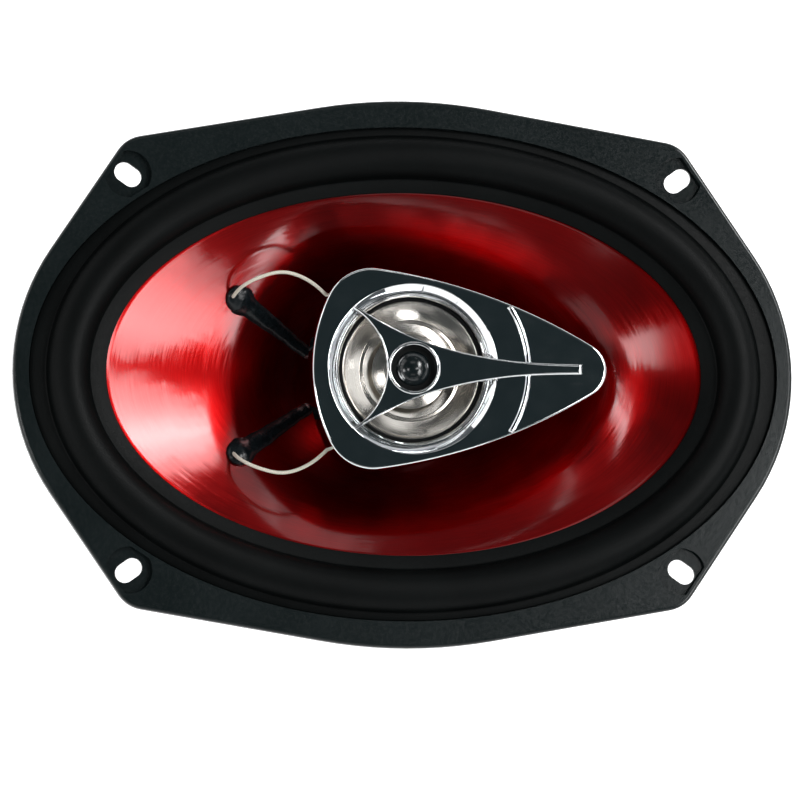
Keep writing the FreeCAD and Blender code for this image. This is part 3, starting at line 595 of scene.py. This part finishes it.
def tinned_tab(look):
    """Tin-plated brass strip with rolling lines."""
    look.set("Metallic", 1.0)
    lines = look.noise(0.25, 3, stretch=(20, 1, 1))
    look.colour(lines, (0.60, 0.58, 0.52), (0.76, 0.74, 0.69))
    look.roughness(lines, 0.24, 0.4)
    look.bump(lines, 0.006)


MATERIALS = (
    black_steel, surround_rubber, red_cone, spider_cloth, former_aluminium, copper_wire, zinc_steel,
    ferrite, boot_rubber, dark_screw, chrome_plastic, black_plastic, capacitor_sleeve, silver_cone,
    neodymium, black_dome, brass_eyelet, fibre_board, black_glue, tinsel_braid, tinned_tab,
)
looks = {}
for paint in MATERIALS:
    fresh = Look(paint.__name__)
    paint(fresh)
    looks[paint.__name__] = fresh.material


def dress_cad_nodes():
    """Every CAD node takes the material of its slot in the record."""
    for part in frame["record"]["subparts"]:
        mesh = frame["nodes"][part["node"]].data
        mesh.materials.clear()
        mesh.materials.append(looks[part["material_slot"]])


# Woofer cone and suspension

def cone_section(share):
    """Half axes and height of the cone's front face, from neck (0) to rim (1)."""
    a = neck_radius + (cone_half[0] - neck_radius) * share
    b = neck_radius + (cone_half[1] - neck_radius) * share
    rise = share + cone_flare * share * (1 - share)
    return (a, b), cone_neck_z + (cone_rim_z - cone_neck_z) * rise


def cone_height(x, y):
    """Height of the cone's front face at a point."""
    inner, outer = 0.0, 1.0
    for _ in range(30):
        share = (inner + outer) / 2
        (a, b), _ = cone_section(share)
        if (x / a) ** 2 + (y / b) ** 2 > 1:
            inner = share
        else:
            outer = share
    return cone_section(share)[1]


def woofer_cone():
    """Pressed cone with a flat rim, a thin edge and a collar round the coil's former."""
    steps = 48
    corner = 0.2
    sections = [cone_section(i / steps) for i in range(steps + 1)]
    face = [oval(half, z) for half, z in sections]
    back = [oval(half, z - cone_thickness) for half, z in reversed(sections)]
    rim_inset = (rim_half[0] - corner, rim_half[1] - corner)
    rim = [
        oval(rim_inset, cone_rim_z),
        oval(rim_half, cone_rim_z - 0.25),
        oval(rim_half, cone_rim_z - cone_thickness + corner),
        oval(rim_inset, cone_rim_z - cone_thickness),
    ]
    collar = [
        circle(neck_radius, collar_z, FINE),
        circle(coil_radius, collar_z, FINE),
        circle(coil_radius, cone_neck_z - 0.3, FINE),
    ]
    piece = skin("pressed_cone", face + rim + back + collar)
    return dress(piece, "red_cone", "cone", body="woofer_cone")


def roll_ring(offset, z):
    """Loop at an offset across the surround's roll, measured from its middle line."""
    loop = []
    a, b = roll_half
    for i in range(FINE):
        angle = 2 * pi * i / FINE
        x, y = a * cos(angle), b * sin(angle)
        normal = Vector((b * cos(angle), a * sin(angle))).normalized()
        loop.append((x + normal.x * offset, y + normal.y * offset, z))
    return loop


def roll_row(angle, radius):
    """Loop at an angle across the roll, and its share of the cone's travel."""
    offset = radius * cos(angle)
    loop = roll_ring(offset, cone_rim_z + radius * sin(angle))
    return loop, ease(0.5 - offset / roll_outer / 2)


def surround():
    """Half-roll rubber ring between a lip on the cone and a lip on the basket's step."""
    steps = 40
    corner = 0.15
    foot = 0.45
    foot_rise = foot * 0.3
    foot_inset = foot * 0.25
    lip_z = cone_rim_z + lip_thickness
    start = asin((lip_thickness + foot) / roll_outer)
    inner_edge = (lip_inner_half[0] + corner, lip_inner_half[1] + corner)
    outer_edge = (lip_outer_half[0] - corner, lip_outer_half[1] - corner)
    rows = [
        (oval(lip_inner_half, cone_rim_z), 1.0),
        (oval(lip_inner_half, lip_z - corner), 1.0),
        (oval(inner_edge, lip_z), 1.0),
        (roll_ring(-roll_outer - foot, lip_z), 1.0),
        (roll_ring(-roll_outer - foot_inset, lip_z + foot_rise), 0.99),
    ]
    sweep = pi - 2 * start
    rows += [roll_row(pi - start - sweep * i / steps, roll_outer) for i in range(steps + 1)]
    rows += [
        (roll_ring(roll_outer + foot_inset, lip_z + foot_rise), 0.01),
        (roll_ring(roll_outer + foot, lip_z), 0.0),
        (oval(outer_edge, lip_z), 0.0),
        (oval(lip_outer_half, lip_z - corner), 0.0),
        (oval(lip_outer_half, cone_rim_z), 0.0),
    ]
    rows += [roll_row(pi * i / steps, roll_inner) for i in range(steps + 1)]
    piece = skin("roll_surround", [loop for loop, _ in rows])
    return dress_soft(piece, "surround_rubber", "surround")


def woven_disc(node, inner, lip, z, waves, wave_height, thickness):
    """Corrugated cloth disc from a coil's former to a flat outer lip."""
    outer = high(node).x
    wave_end = outer - lip
    steps = waves * 10
    profile = []
    for i in range(steps + 1):
        share = i / steps
        lift = wave_height * sin(pi * waves * share)
        profile.append((inner + (wave_end - inner) * share, z + lift, 1 - ease(share)))
    profile.append((outer, z, 0.0))
    top = [(r, height + thickness, weight) for r, height, weight in reversed(profile)]
    section = profile + top
    piece = lathe(f"woven_{node}", [(r, height) for r, height, _ in section])
    return dress_soft(piece, "spider_cloth", node)


def spider():
    """Corrugated cloth disc that centres the woofer's coil."""
    return woven_disc(
        "spider", inner=coil_radius, lip=5.7, z=spider_z,
        waves=7, wave_height=1.3, thickness=0.5,
    )


# Glue and leads

def glue(side_name):
    """Hand-laid mound over an eyelet, drawn out into a trail that follows the cone."""
    side = SIDES[side_name]
    start = Vector((glue_at[0], side * glue_at[1]))
    end = Vector((glue_trail_end[0], side * glue_trail_end[1]))
    way = (end - start).normalized()
    across = Vector((-way.y, way.x))
    length = (end - start).length
    root, tail, thinnest = 3.2, 2.0, 0.02
    crown, belly = 0.62, 0.35
    waver_size, lump_size = 0.3, 0.08
    rows, columns = 56, 16
    loops = []
    for i in range(rows + 1):
        share = 0.5 - 0.5 * cos(pi * i / rows)
        along = -glue_radius + (length + tail + glue_radius) * share
        bulb = sqrt(max(glue_radius**2 - along**2, 0)) if along < glue_radius else 0.0
        taper = root + (tail - root) * ease(along / length)
        close = sqrt(max(1 - max(along - length, 0) ** 2 / tail**2, 0))
        trail = taper * close if along > 0 else 0.0
        half_width = max((bulb**4 + trail**4) ** 0.25, thinnest)
        waver = waver_size * noise.noise(Vector((along * 0.25, side * 3.0, 0)))
        loop = []
        for j in range(2 * columns):
            angle = pi * j / columns
            offset = half_width * cos(angle) + waver * min(half_width / 2, 1)
            at = start + way * along + across * offset
            lift = (crown * half_width if angle <= pi else belly) * sin(angle)
            lump = 1 + lump_size * noise.noise(Vector((at.x, at.y, side * 7.0)) * 0.45)
            loop.append((at.x, at.y, cone_height(at.x, at.y) + lift * lump))
        loops.append(loop)
    piece = skin(f"glue_mound_{side_name}", loops, closed=False)
    return dress(piece, "black_glue", f"glue_{side_name}", body="woofer_cone")


def line_along(route):
    """Points on the smooth line that a route's points control."""
    curve = bpy.data.curves.new("route", "CURVE")
    curve.dimensions = "3D"
    spline = curve.splines.new("NURBS")
    spline.points.add(len(route) - 1)
    for point, place in zip(spline.points, route):
        point.co = (*place, 1.0)
    spline.order_u = 3
    spline.use_endpoint_u = True
    spline.resolution_u = 40
    holder = bpy.data.objects.new("route", curve)
    mesh = bpy.data.meshes.new_from_object(holder)
    points = [vertex.co.copy() for vertex in mesh.vertices]
    bpy.data.objects.remove(holder)
    bpy.data.curves.remove(curve)
    bpy.data.meshes.remove(mesh)
    return points


def braided_lead(name, route):
    """Braided tube along a route, and each point's distance along it from 0 to 1."""
    line = line_along(route)
    steps = [(b - a).length for a, b in zip(line, line[1:])]
    travelled = np.concatenate(([0.0], np.cumsum(steps)))
    length = travelled[-1]
    ring_gap = 0.11
    rings = int(length / ring_gap)
    look_ahead = 0.2
    sides = 24
    strands = 4
    groove = 0.20
    pitch = 2.6

    def place(reach):
        return Vector([np.interp(reach, travelled, [p[axis] for p in line]) for axis in range(3)])

    loops, shares = [], []
    side_way = Vector((0, 0, 1)).cross(line[1] - line[0]).normalized()
    for i in range(rings + 1):
        reach = length * i / rings
        at = place(reach)
        way = (place(reach + look_ahead) - place(reach - look_ahead)).normalized()
        side_way = (side_way - way * side_way.dot(way)).normalized()
        third = way.cross(side_way)
        loop = []
        for j in range(sides):
            angle = 2 * pi * j / sides
            turn = 2 * pi * reach / pitch
            left = abs(sin(strands * (angle + turn) / 2))
            right = abs(sin(strands * (angle - turn) / 2))
            radius = lead_radius * (1 - groove + groove * max(left, right))
            loop.append(at + (side_way * cos(angle) + third * sin(angle)) * radius)
        loops.append(loop)
        shares.append(i / rings)
    return capped_tube(name, loops), np.repeat(shares, sides)


def front_lead_route(side):
    """From a glue mound, out and up in a bow, and back into the pod's base."""
    x, y = glue_at[0], side * glue_at[1]
    z = cone_height(x, y)
    return [
        (x - 2.3, side * 23.4, z + 2.4),
        (x - 1.4, side * 25.4, z + 6.6),
        (-45.0, side * 28.4, 1.6),
        (-37.2, side * 30.6, 4.0),
        (-29.5, side * 27.9, 4.8),
        (-23.4, side * 22.6, 4.6),
        (-18.4, side * 17.4, 4.4),
    ]


def rear_lead_route(side):
    """From behind an eyelet, down in a slack bow to its terminal tab."""
    x, y = glue_at[0], side * glue_at[1]
    z = cone_height(x, y)
    return [
        (x, y, z - 2.4),
        (x, y, z - 9.0),
        (-52.5, side * 21.0, -24.5),
        (-58.5, side * 16.0, -29.5),
        (-63.0, side * 10.0, -30.5),
        (-64.3, side * 6.8, -32.0),
        (-64.3, side * 6.8, tab_top),
    ]


def leads(side_name):
    """The braided leads of one eyelet, each bowed between the cone and the chassis."""
    side = SIDES[side_name]
    for where, route in (("front", front_lead_route(side)), ("rear", rear_lead_route(side))):
        piece, shares = braided_lead(f"{where}_braid_{side_name}", route)
        dress_soft(piece, "tinsel_braid", f"{where}_lead_{side_name}")


# Pod face

def pod_arcs():
    """The upper half of the pod's outline, from left to tip: (centre, radius, start, end, steps)."""
    left_centre = Vector((pod_left + pod_left_radius, 0))
    left_end_angle = pi - pod_left_angle
    left_way = Vector((cos(left_end_angle), sin(left_end_angle)))
    corner_centre = left_centre + left_way * (pod_left_radius - pod_corner_radius)
    tip_centre = Vector((pod_tip - pod_tip_radius, 0))

    # The long side's circle holds the corner's and the tip's circles and touches both.
    to_corner = pod_side_radius - pod_corner_radius
    to_tip = pod_side_radius - pod_tip_radius
    across = tip_centre - corner_centre
    span = across.length
    along = (to_corner**2 - to_tip**2 + span**2) / (2 * span)
    drop = sqrt(to_corner**2 - along**2)
    way = across.normalized()
    side_centre = corner_centre + way * along + Vector((way.y, -way.x)) * drop

    corner_way = corner_centre - side_centre
    tip_way = tip_centre - side_centre
    corner_angle = atan2(corner_way.y, corner_way.x)
    tip_angle = atan2(tip_way.y, tip_way.x)
    return [
        (left_centre, pod_left_radius, pi, left_end_angle, 36),
        (corner_centre, pod_corner_radius, left_end_angle, corner_angle, 30),
        (side_centre, pod_side_radius, corner_angle, tip_angle, 100),
        (tip_centre, pod_tip_radius, tip_angle, 0.0, 30),
    ]


def pod_outline(inset=0.0):
    """Points round the pod, moved inwards, from its left end over the top to its tip and back."""
    upper = []
    for centre, radius, start, end, steps in pod_arcs():
        upper += arc_points(centre, radius - inset, start, end, steps)[:-1]
    upper.append((pod_tip - inset, 0.0))
    lower = [(x, -y) for x, y in reversed(upper[1:-1])]
    return upper + lower


def at_height(points, z):
    return [(x, y, z) for x, y in points]


def pod_face():
    """Chrome shell: rounded front edge, flat face, funnel and the midrange's socket."""
    outline = pod_outline()
    angles = [atan2(y, x) for x, y in outline]

    def ring_at(radius, z):
        return [(radius * cos(a), radius * sin(a), z) for a in angles]

    corner = 0.15
    edge_steps = 6
    loops = [at_height(pod_outline(corner), pod_joint_z), at_height(outline, pod_joint_z + corner)]
    for i in range(edge_steps + 1):
        angle = pi / 2 * i / edge_steps
        inset = pod_edge * (1 - cos(angle))
        z = face_z - pod_edge + pod_edge * sin(angle)
        loops.append(at_height(pod_outline(inset), z))
    lip = 0.18
    slope = atan2(pod_wall, funnel_outer - funnel_inner)
    inner_z = face_z - pod_wall
    ledge_z = inner_z - 0.5
    socket_inner, socket_outer = funnel_inner + 1.4, funnel_inner + 2.6
    socket_low = trim_low - 1.0
    loops += [
        at_height(pod_outline(pod_edge + 0.1), face_z),
        ring_at(funnel_outer + lip + 0.1, face_z),
        ring_at(funnel_outer + lip, face_z),
        ring_at(funnel_outer + lip * 0.4, face_z - lip * 0.12),
        ring_at(funnel_outer - lip * cos(slope), face_z - lip * sin(slope)),
        ring_at(funnel_inner + 0.1, inner_z + 0.08),
        ring_at(funnel_inner, inner_z - 0.1),
        ring_at(funnel_inner, ledge_z),
        ring_at(socket_inner, ledge_z),
        ring_at(socket_inner, socket_low),
        ring_at(socket_outer, socket_low),
        ring_at(socket_outer, ledge_z),
        at_height(pod_outline(pod_wall + 0.4), ledge_z),
        at_height(pod_outline(pod_wall), ledge_z - 0.4),
        at_height(pod_outline(pod_wall), pod_joint_z),
    ]
    return dress(even_shading(skin("pod_face", loops)), "chrome_plastic", "pod_bezel")


def outline_angle_at(radius, inset):
    """Angle at which the pod's upper outline, moved inwards, is a radius from the axis."""
    points = [(x, y) for x, y in pod_outline(inset) if y >= 0 and x > 0]
    distances = [hypot(x, y) for x, y in points]
    angles = [atan2(y, x) for x, y in points]
    return float(np.interp(radius, distances, angles))


def face_rib(side_name):
    """Half of the curved rib, from the star's long arm to the edge of the face."""
    side = SIDES[side_name]
    inner, outer = rib_radii
    middle = (inner + outer) / 2
    start = asin(star_arm_half_width / middle)
    end = outline_angle_at(middle, pod_edge)
    section = rounded([
        (inner, face_z - 0.2, 0), (outer, face_z - 0.2, 0),
        (outer, face_z + rib_height, 0.6), (inner, face_z + rib_height, 0.6),
    ])
    steps = 60
    sunk_share = 0.03
    sunk_depth = 0.5
    loops = []
    for i in range(steps + 1):
        share = i / steps
        angle = side * (start + (end - start) * share)
        sink = sunk_depth * ease((share - 1 + sunk_share) / sunk_share)
        heights = [z - sink if z > face_z else z for _, z in section]
        loops.append([(r * cos(angle), r * sin(angle), z) for (r, _), z in zip(section, heights)])
    return dress(even_shading(capped_tube(f"face_rib_{side_name}", loops)), "chrome_plastic")


# Midrange

def mid_trim_ring():
    """Bright stepped ring round the midrange."""
    top = high("mid_trim_ring").z
    profile = rounded([
        (trim_inner, trim_low, 0), (trim_outer, trim_low, 0), (trim_outer, top, 0.25),
        (trim_outer - 0.75, top, 0.2), (trim_outer - 0.9, top - 1.1, 0.2),
        (trim_inner + 0.25, top - 1.3, 0.15), (trim_inner, top - 1.7, 0.1),
    ])
    return dress(even_shading(lathe("bright_trim_ring", profile)), "chrome_plastic", "mid_trim_ring")


def mid_cone():
    """Silver cone in two pressed steps."""
    thickness = 0.5
    neck = mid_neck_radius - 0.4
    outer = mid_cone_radius
    step_radius = outer - 5.5
    ridge_radius = step_radius - 0.9
    top = high("mid_cone").z
    base = top - 6.9
    cap_z, ridge_z, step_z, bend_z = base + 2.8, base + 4.4, base + 3.9, base + 6.4
    corners = [
        (neck, base, 0), (mid_cap_radius, cap_z, 0), (ridge_radius, ridge_z, 0.5),
        (step_radius, step_z, 0.6), (outer - 0.9, bend_z, 0.4), (outer - 0.4, top, 0.2),
        (outer, top - 0.2, 0), (outer, top - 0.2 - thickness, 0), (outer - 0.6, top - thickness, 0.2),
        (outer - 1.1, bend_z - thickness, 0.3), (step_radius, step_z - thickness, 0.4),
        (ridge_radius, ridge_z - thickness, 0.3), (mid_cap_radius, cap_z - thickness, 0),
        (neck, base - thickness, 0),
    ]
    piece = lathe("spun_mid_cone", rounded(corners, 5))
    return dress(piece, "silver_cone", "mid_cone", body="midrange_cone")


def dome_profile(node, thickness, steps=24):
    """Thin cap of a ball, as large as a node, from its axis to its rim and back under."""
    radius, top = high(node).x, high(node).z
    rise = top - low(node).z
    ball = (radius**2 + rise**2) / (2 * rise)
    reach = asin(radius / ball)
    outer = [(ball * sin(reach * i / steps), top - ball + ball * cos(reach * i / steps))
             for i in range(steps + 1)]
    inner = [(r * (1 - thickness / ball), z - thickness) for r, z in reversed(outer)]
    return outer + inner


def mid_cap():
    """Domed silver cap over the midrange's coil."""
    piece = lathe("domed_mid_cap", dome_profile("mid_cap", 0.4), closed=False)
    return dress(piece, "silver_cone", "mid_cap", body="midrange_cone")


def edge_ring(name, section, node):
    """Rubber ring of revolution, dressed without a body."""
    piece = lathe(name, section)
    return dress_soft(piece, "surround_rubber", node)


def mid_surround():
    """Narrow rubber roll round the silver cone."""
    middle, half = (mid_cone_radius + trim_inner) / 2, (trim_inner - mid_cone_radius) / 2
    rise = high("mid_surround").z - trim_low
    thickness = 0.3
    steps = 16
    inwards = [pi * i / steps for i in range(steps + 1)]
    outwards = [pi - angle for angle in inwards]

    def arch(half, rise, angles):
        return [(middle + half * cos(a), trim_low + rise * sin(a)) for a in angles]

    section = arch(half, rise, outwards) + arch(half - thickness, rise - thickness, inwards)
    return edge_ring("mid_roll", section, "mid_surround")


def mid_spider():
    """Small corrugated disc over the midrange's motor."""
    wave_height = 0.6
    return woven_disc(
        "mid_spider", inner=mid_neck_radius, lip=1.6,
        z=low("mid_spider").z + wave_height, waves=3, wave_height=wave_height, thickness=0.3,
    )


# Star and tweeter

def smooth_through(points, step):
    """Points about one step apart on a smooth curve through a few points."""
    knots = [Vector(p) for p in points]
    gaps = [(b - a).length for a, b in zip(knots, knots[1:])]
    slopes = [(b - a) / gap for a, b, gap in zip(knots, knots[1:], gaps)]
    tangents = []
    for i in range(1, len(knots) - 1):
        whole = gaps[i - 1] + gaps[i]
        tangents.append((slopes[i - 1] * gaps[i] + slopes[i] * gaps[i - 1]) / whole)
    tangents.insert(0, 1.5 * slopes[0] - 0.5 * tangents[0])
    tangents.append(1.5 * slopes[-1] - 0.5 * tangents[-1])
    curve = []
    for i, gap in enumerate(gaps):
        count = max(2, round(gap / step))
        for j in range(count):
            t = j / count
            curve.append(
                knots[i] * (2 * t**3 - 3 * t**2 + 1)
                + tangents[i] * gap * (t**3 - 2 * t**2 + t)
                + knots[i + 1] * (3 * t**2 - 2 * t**3)
                + tangents[i + 1] * gap * (t**3 - t**2)
            )
    return curve + [knots[-1]]


def circle_centre(through):
    """Where on the X axis the circle through the star's waist and a point has its centre."""
    x, y = through
    return (x**2 + y**2 - star_waist**2) / (2 * (x + star_waist))


def star_outline():
    """Three-armed star with hollow sides, counterclockwise from the end of its long arm."""
    point_gap = 1.1
    long_side = [(star_arm_end, star_arm_half_width), (25.2, 2.95), (9.2, 6.2), (0, 9.2), star_tip]
    upper = smooth_through(long_side, point_gap)
    blunt = Vector((star_tip[0] - 0.6, star_tip[1] - 0.7))
    centre = circle_centre(blunt)
    radius = -star_waist - centre
    swing = asin(blunt.y / radius)
    left = [Vector(p) for p in arc_points((centre, 0), radius, swing, -swing, 36)]
    return upper + left + [Vector((p.x, -p.y)) for p in reversed(upper)]


def moved_inwards(outline, distances):
    """Closed outline with each point moved inwards by its distance."""
    moved = []
    for i, (here, by) in enumerate(zip(outline, distances)):
        before, after = outline[i - 1], outline[(i + 1) % len(outline)]
        first = (here - before).normalized()
        second = (after - here).normalized()
        normal = (Vector((-first.y, first.x)) + Vector((-second.y, second.x))).normalized()
        stretch = max(normal.dot(Vector((-first.y, first.x))), 0.35)
        moved.append(here + normal * by / stretch)
    return moved


def flat_with_hole(build, outer, inner):
    """Fills the flat space between two closed rows of vertices."""
    edges = []
    for row in (outer, inner):
        for a, b in zip(row, row[1:] + row[:1]):
            edges.append(build.edges.get((a, b)) or build.edges.new((a, b)))
    bmesh.ops.triangle_fill(build, use_beauty=True, use_dissolve=False, edges=edges)


def star():
    """Chrome star with softly rounded front edges and a socket for the tweeter."""
    outline = star_outline()
    tip_extra, widening_from, widening_over = 0.3, 20, 30
    edges = [star_edge + tip_extra * ease((p.x - widening_from) / widening_over) for p in outline]
    build = bmesh.new()
    edge_steps = 5
    outside = [at_height(outline, face_z)]
    for i in range(edge_steps + 1):
        angle = pi / 2 * i / edge_steps
        z = star_top - star_edge + star_edge * sin(angle)
        reach = [edge * (1 - cos(angle)) for edge in edges]
        outside.append(at_height(moved_inwards(outline, reach), z))
    hole = tweeter_cup_radius + 0.6
    socket = tweeter_cup_radius + 0.05
    corner = 0.2
    inside = [
        circle(hole, star_top), circle(hole, face_z), circle(socket, face_z),
        circle(socket, star_low + 2 * corner), circle(star_waist - corner, star_low),
        circle(star_waist, star_low + corner), circle(star_waist, face_z),
    ]
    outside_rows = joined_rows(build, outside)
    inside_rows = joined_rows(build, inside)
    flat_with_hole(build, outside_rows[-1], inside_rows[0])
    flat_with_hole(build, outside_rows[0], inside_rows[-1])
    return dress(even_shading(piece_from("tweeter_star", build)), "chrome_plastic", "star")


def tweeter_ring():
    """Chrome ring with a rolled lip and a wall that flares towards the dome."""
    bottom, top = low("tweeter_ring").z, high("tweeter_ring").z
    outer = high("tweeter_ring").x
    sleeve = tweeter_cup_radius + 0.55
    inner = tweeter_cup_radius - 0.3
    profile = rounded([
        (inner, bottom, 0), (sleeve, bottom, 0), (sleeve, star_top, 0), (outer, star_top, 0),
        (outer, top, 0.45), (outer - 0.95, top, 0.42), (inner + 0.25, bottom + 0.9, 0.5),
        (inner, bottom + 0.3, 0.1),
    ], 5)
    return dress(even_shading(lathe("bright_tweeter_ring", profile)), "chrome_plastic", "tweeter_ring")


def tweeter_dome():
    """Glossy black dome."""
    piece = lathe("glossy_dome", dome_profile("tweeter_dome", 0.25, 32), closed=False)
    return dress(piece, "black_dome", "tweeter_dome", body="tweeter_dome")


def tweeter_surround():
    """Soft black ring between the dome and the tweeter's cup."""
    inner, outer = high("tweeter_dome").x, high("tweeter_surround").x
    bottom, top = low("tweeter_surround").z, high("tweeter_surround").z
    steps = 10
    radii = [inner + (outer - inner) * i / steps for i in range(steps + 1)]
    section = [(r, top) for r in radii] + [(r, bottom) for r in reversed(radii)]
    return edge_ring("dome_edge", section, "tweeter_surround")


# Studio

def direction(azimuth, elevation):
    """Unit vector towards a compass angle from +X and an angle above the horizon."""
    a, e = radians(azimuth), radians(elevation)
    return Vector((cos(a) * cos(e), sin(a) * cos(e), sin(e)))


def soft_box(name, azimuth, elevation, wide, tall, brightness, distance=2.0):
    """Rectangular studio light that faces the speaker. Its size is given in degrees."""
    light = bpy.data.lights.new(name, "AREA")
    light.shape = "RECTANGLE"
    light.size = 2 * distance * tan(radians(wide / 2))
    light.size_y = 2 * distance * tan(radians(tall / 2))
    light.energy = brightness * pi * light.size * light.size_y
    box = new_object(name, light)
    box.location = direction(azimuth, elevation) * distance
    box.rotation_euler = (-box.location).to_track_quat("-Z", "Y").to_euler()


def light_wall(name, posts):
    """Row of narrow boxes between (azimuth, bottom, top, brightness) posts."""
    box_width = 5
    azimuths = [post[0] for post in posts]
    span = azimuths[-1] - azimuths[0]
    count = round(span / box_width)
    for i in range(count):
        azimuth = azimuths[0] + span * (i + 0.5) / count
        bottom, top, brightness = (
            float(np.interp(azimuth, azimuths, [post[k] for post in posts])) for k in (1, 2, 3)
        )
        middle = (bottom + top) / 2
        wide = span / count * cos(radians(middle))
        soft_box(f"{name}_{i}", azimuth, middle, wide, top - bottom, brightness)


def studio_lights():
    """Two walls on the right over thin strips, low walls round the rest, and a few single boxes."""
    front_posts = (-46, 40, 54, 3.5), (-27, 40, 56, 9.0), (-12, 45, 56, 12.0), (3, 52, 56, 7.0)
    back_posts = (9, 51, 58, 7.0), (24, 40, 57, 11.0), (37, 36, 51, 24.0), (49, 31, 44, 5.0)
    light_wall("front_wall", front_posts)
    light_wall("back_wall", back_posts)
    strips = (
        (3, 37.5, 4.0), (-14, 37.0, 4.0), (-30, 36.5, 4.0), (-45, 36.0, 2.5), (-58, 36.8, 2.0),
        (-71, 37.5, 1.5), (-84, 37.5, 1.2), (-97, 39.5, 1.2),
    )
    for azimuth, elevation, brightness in strips:
        soft_box(f"strip_{azimuth}", azimuth, elevation, wide=11, tall=1.8, brightness=brightness)
    for azimuth in (-75, -105, -135, -165, 165, 140):
        soft_box(f"low_wall_{azimuth}", azimuth, elevation=21, wide=28, tall=24, brightness=1.1)
    boxes = (
        ("left_box", 190, 63, 12, 7, 8.0), ("left_low", 190, 38, 13, 8, 10.0),
        ("back_high", 90, 54, 24, 12, 0.9), ("front_high", -90, 58, 24, 8, 0.8),
        ("key", 4, 66, 8, 14, 9.0), ("back_patch", 72, 27, 5, 3, 4.0),
    )
    for name, azimuth, elevation, wide, tall, brightness in boxes:
        soft_box(name, azimuth, elevation, wide, tall, brightness)


def surroundings():
    """Dark overhead, where the camera stands, and a pale room towards the horizon."""
    world = bpy.data.worlds.new("studio")
    bpy.context.scene.world = world
    world.use_nodes = True
    nodes, links = world.node_tree.nodes, world.node_tree.links
    place = nodes.new("ShaderNodeTexCoord")
    split = nodes.new("ShaderNodeSeparateXYZ")
    ramp = nodes.new("ShaderNodeValToRGB")
    links.new(place.outputs["Generated"], split.inputs[0])
    links.new(split.outputs["Z"], ramp.inputs[0])
    links.new(ramp.outputs[0], nodes["Background"].inputs["Color"])
    stops = [
        (0.00, (0.9, 0.9, 0.9)), (0.07, (0.7, 0.7, 0.72)), (0.16, (0.10, 0.11, 0.12)),
        (0.30, (0.08, 0.085, 0.09)), (0.80, (0.08, 0.09, 0.093)), (0.95, (0.014, 0.021, 0.023)),
    ]
    elements = ramp.color_ramp.elements
    elements[0].position, elements[0].color = stops[0][0], (*stops[0][1], 1)
    elements[1].position, elements[1].color = stops[-1][0], (*stops[-1][1], 1)
    for position, colour in stops[1:-1]:
        elements.new(position).color = (*colour, 1)


def floor():
    """Plain white surface under the speaker."""
    half = 3000
    build = bmesh.new()
    corners = [(-half, -half), (half, -half), (half, half), (-half, half)]
    build.faces.new([build.verts.new((x, y, cad_bounds[0].z / MM)) for x, y in corners])
    plane = piece_from("studio_floor", build)
    look = Look("studio_floor")
    look.set("Roughness", 0.9)
    look.set("Base Color", (0.85, 0.85, 0.85))
    look.set("Emission Color", (1, 1, 1))
    look.set("Emission Strength", 0.75)
    plane.data.materials.append(look.material)


def camera():
    """Looks almost straight down the speaker's axis, from a little to its left and below."""
    distance = 1800
    frame_width = 239.3
    lean_left, lean_down = radians(8.0), radians(5.3)
    roll = radians(-0.34)
    back = Vector((-sin(lean_left), -sin(lean_down), 0))
    back.z = sqrt(1 - back.length_squared)
    target = Vector((-1.5, -7.7, 0))
    sight = bpy.data.cameras.new("camera")
    sight.sensor_width = 36
    sight.lens = sight.sensor_width * distance / frame_width
    sight.clip_end = 20
    eye = new_object("camera", sight)
    right = Vector((0, 1, 0)).cross(back).normalized()
    up = back.cross(right)
    turned = Matrix((right, up, back)).transposed() @ Matrix.Rotation(roll, 3, "Z")
    eye.matrix_world = Matrix.Translation((target + back * distance) * MM) @ turned.to_4x4()
    bpy.context.scene.camera = eye


# Everything

camera()
dress_cad_nodes()
woofer_cone()
surround()
spider()
for side_name in SIDES:
    glue(side_name)
    leads(side_name)
    face_rib(side_name)
pod_face()
mid_trim_ring()
mid_cone()
mid_cap()
mid_surround()
mid_spider()
star()
tweeter_ring()
tweeter_dome()
tweeter_surround()
floor()
surroundings()
studio_lights()
bpy.context.scene.view_settings.view_transform = "Standard"

bpy.context.view_layer.update()
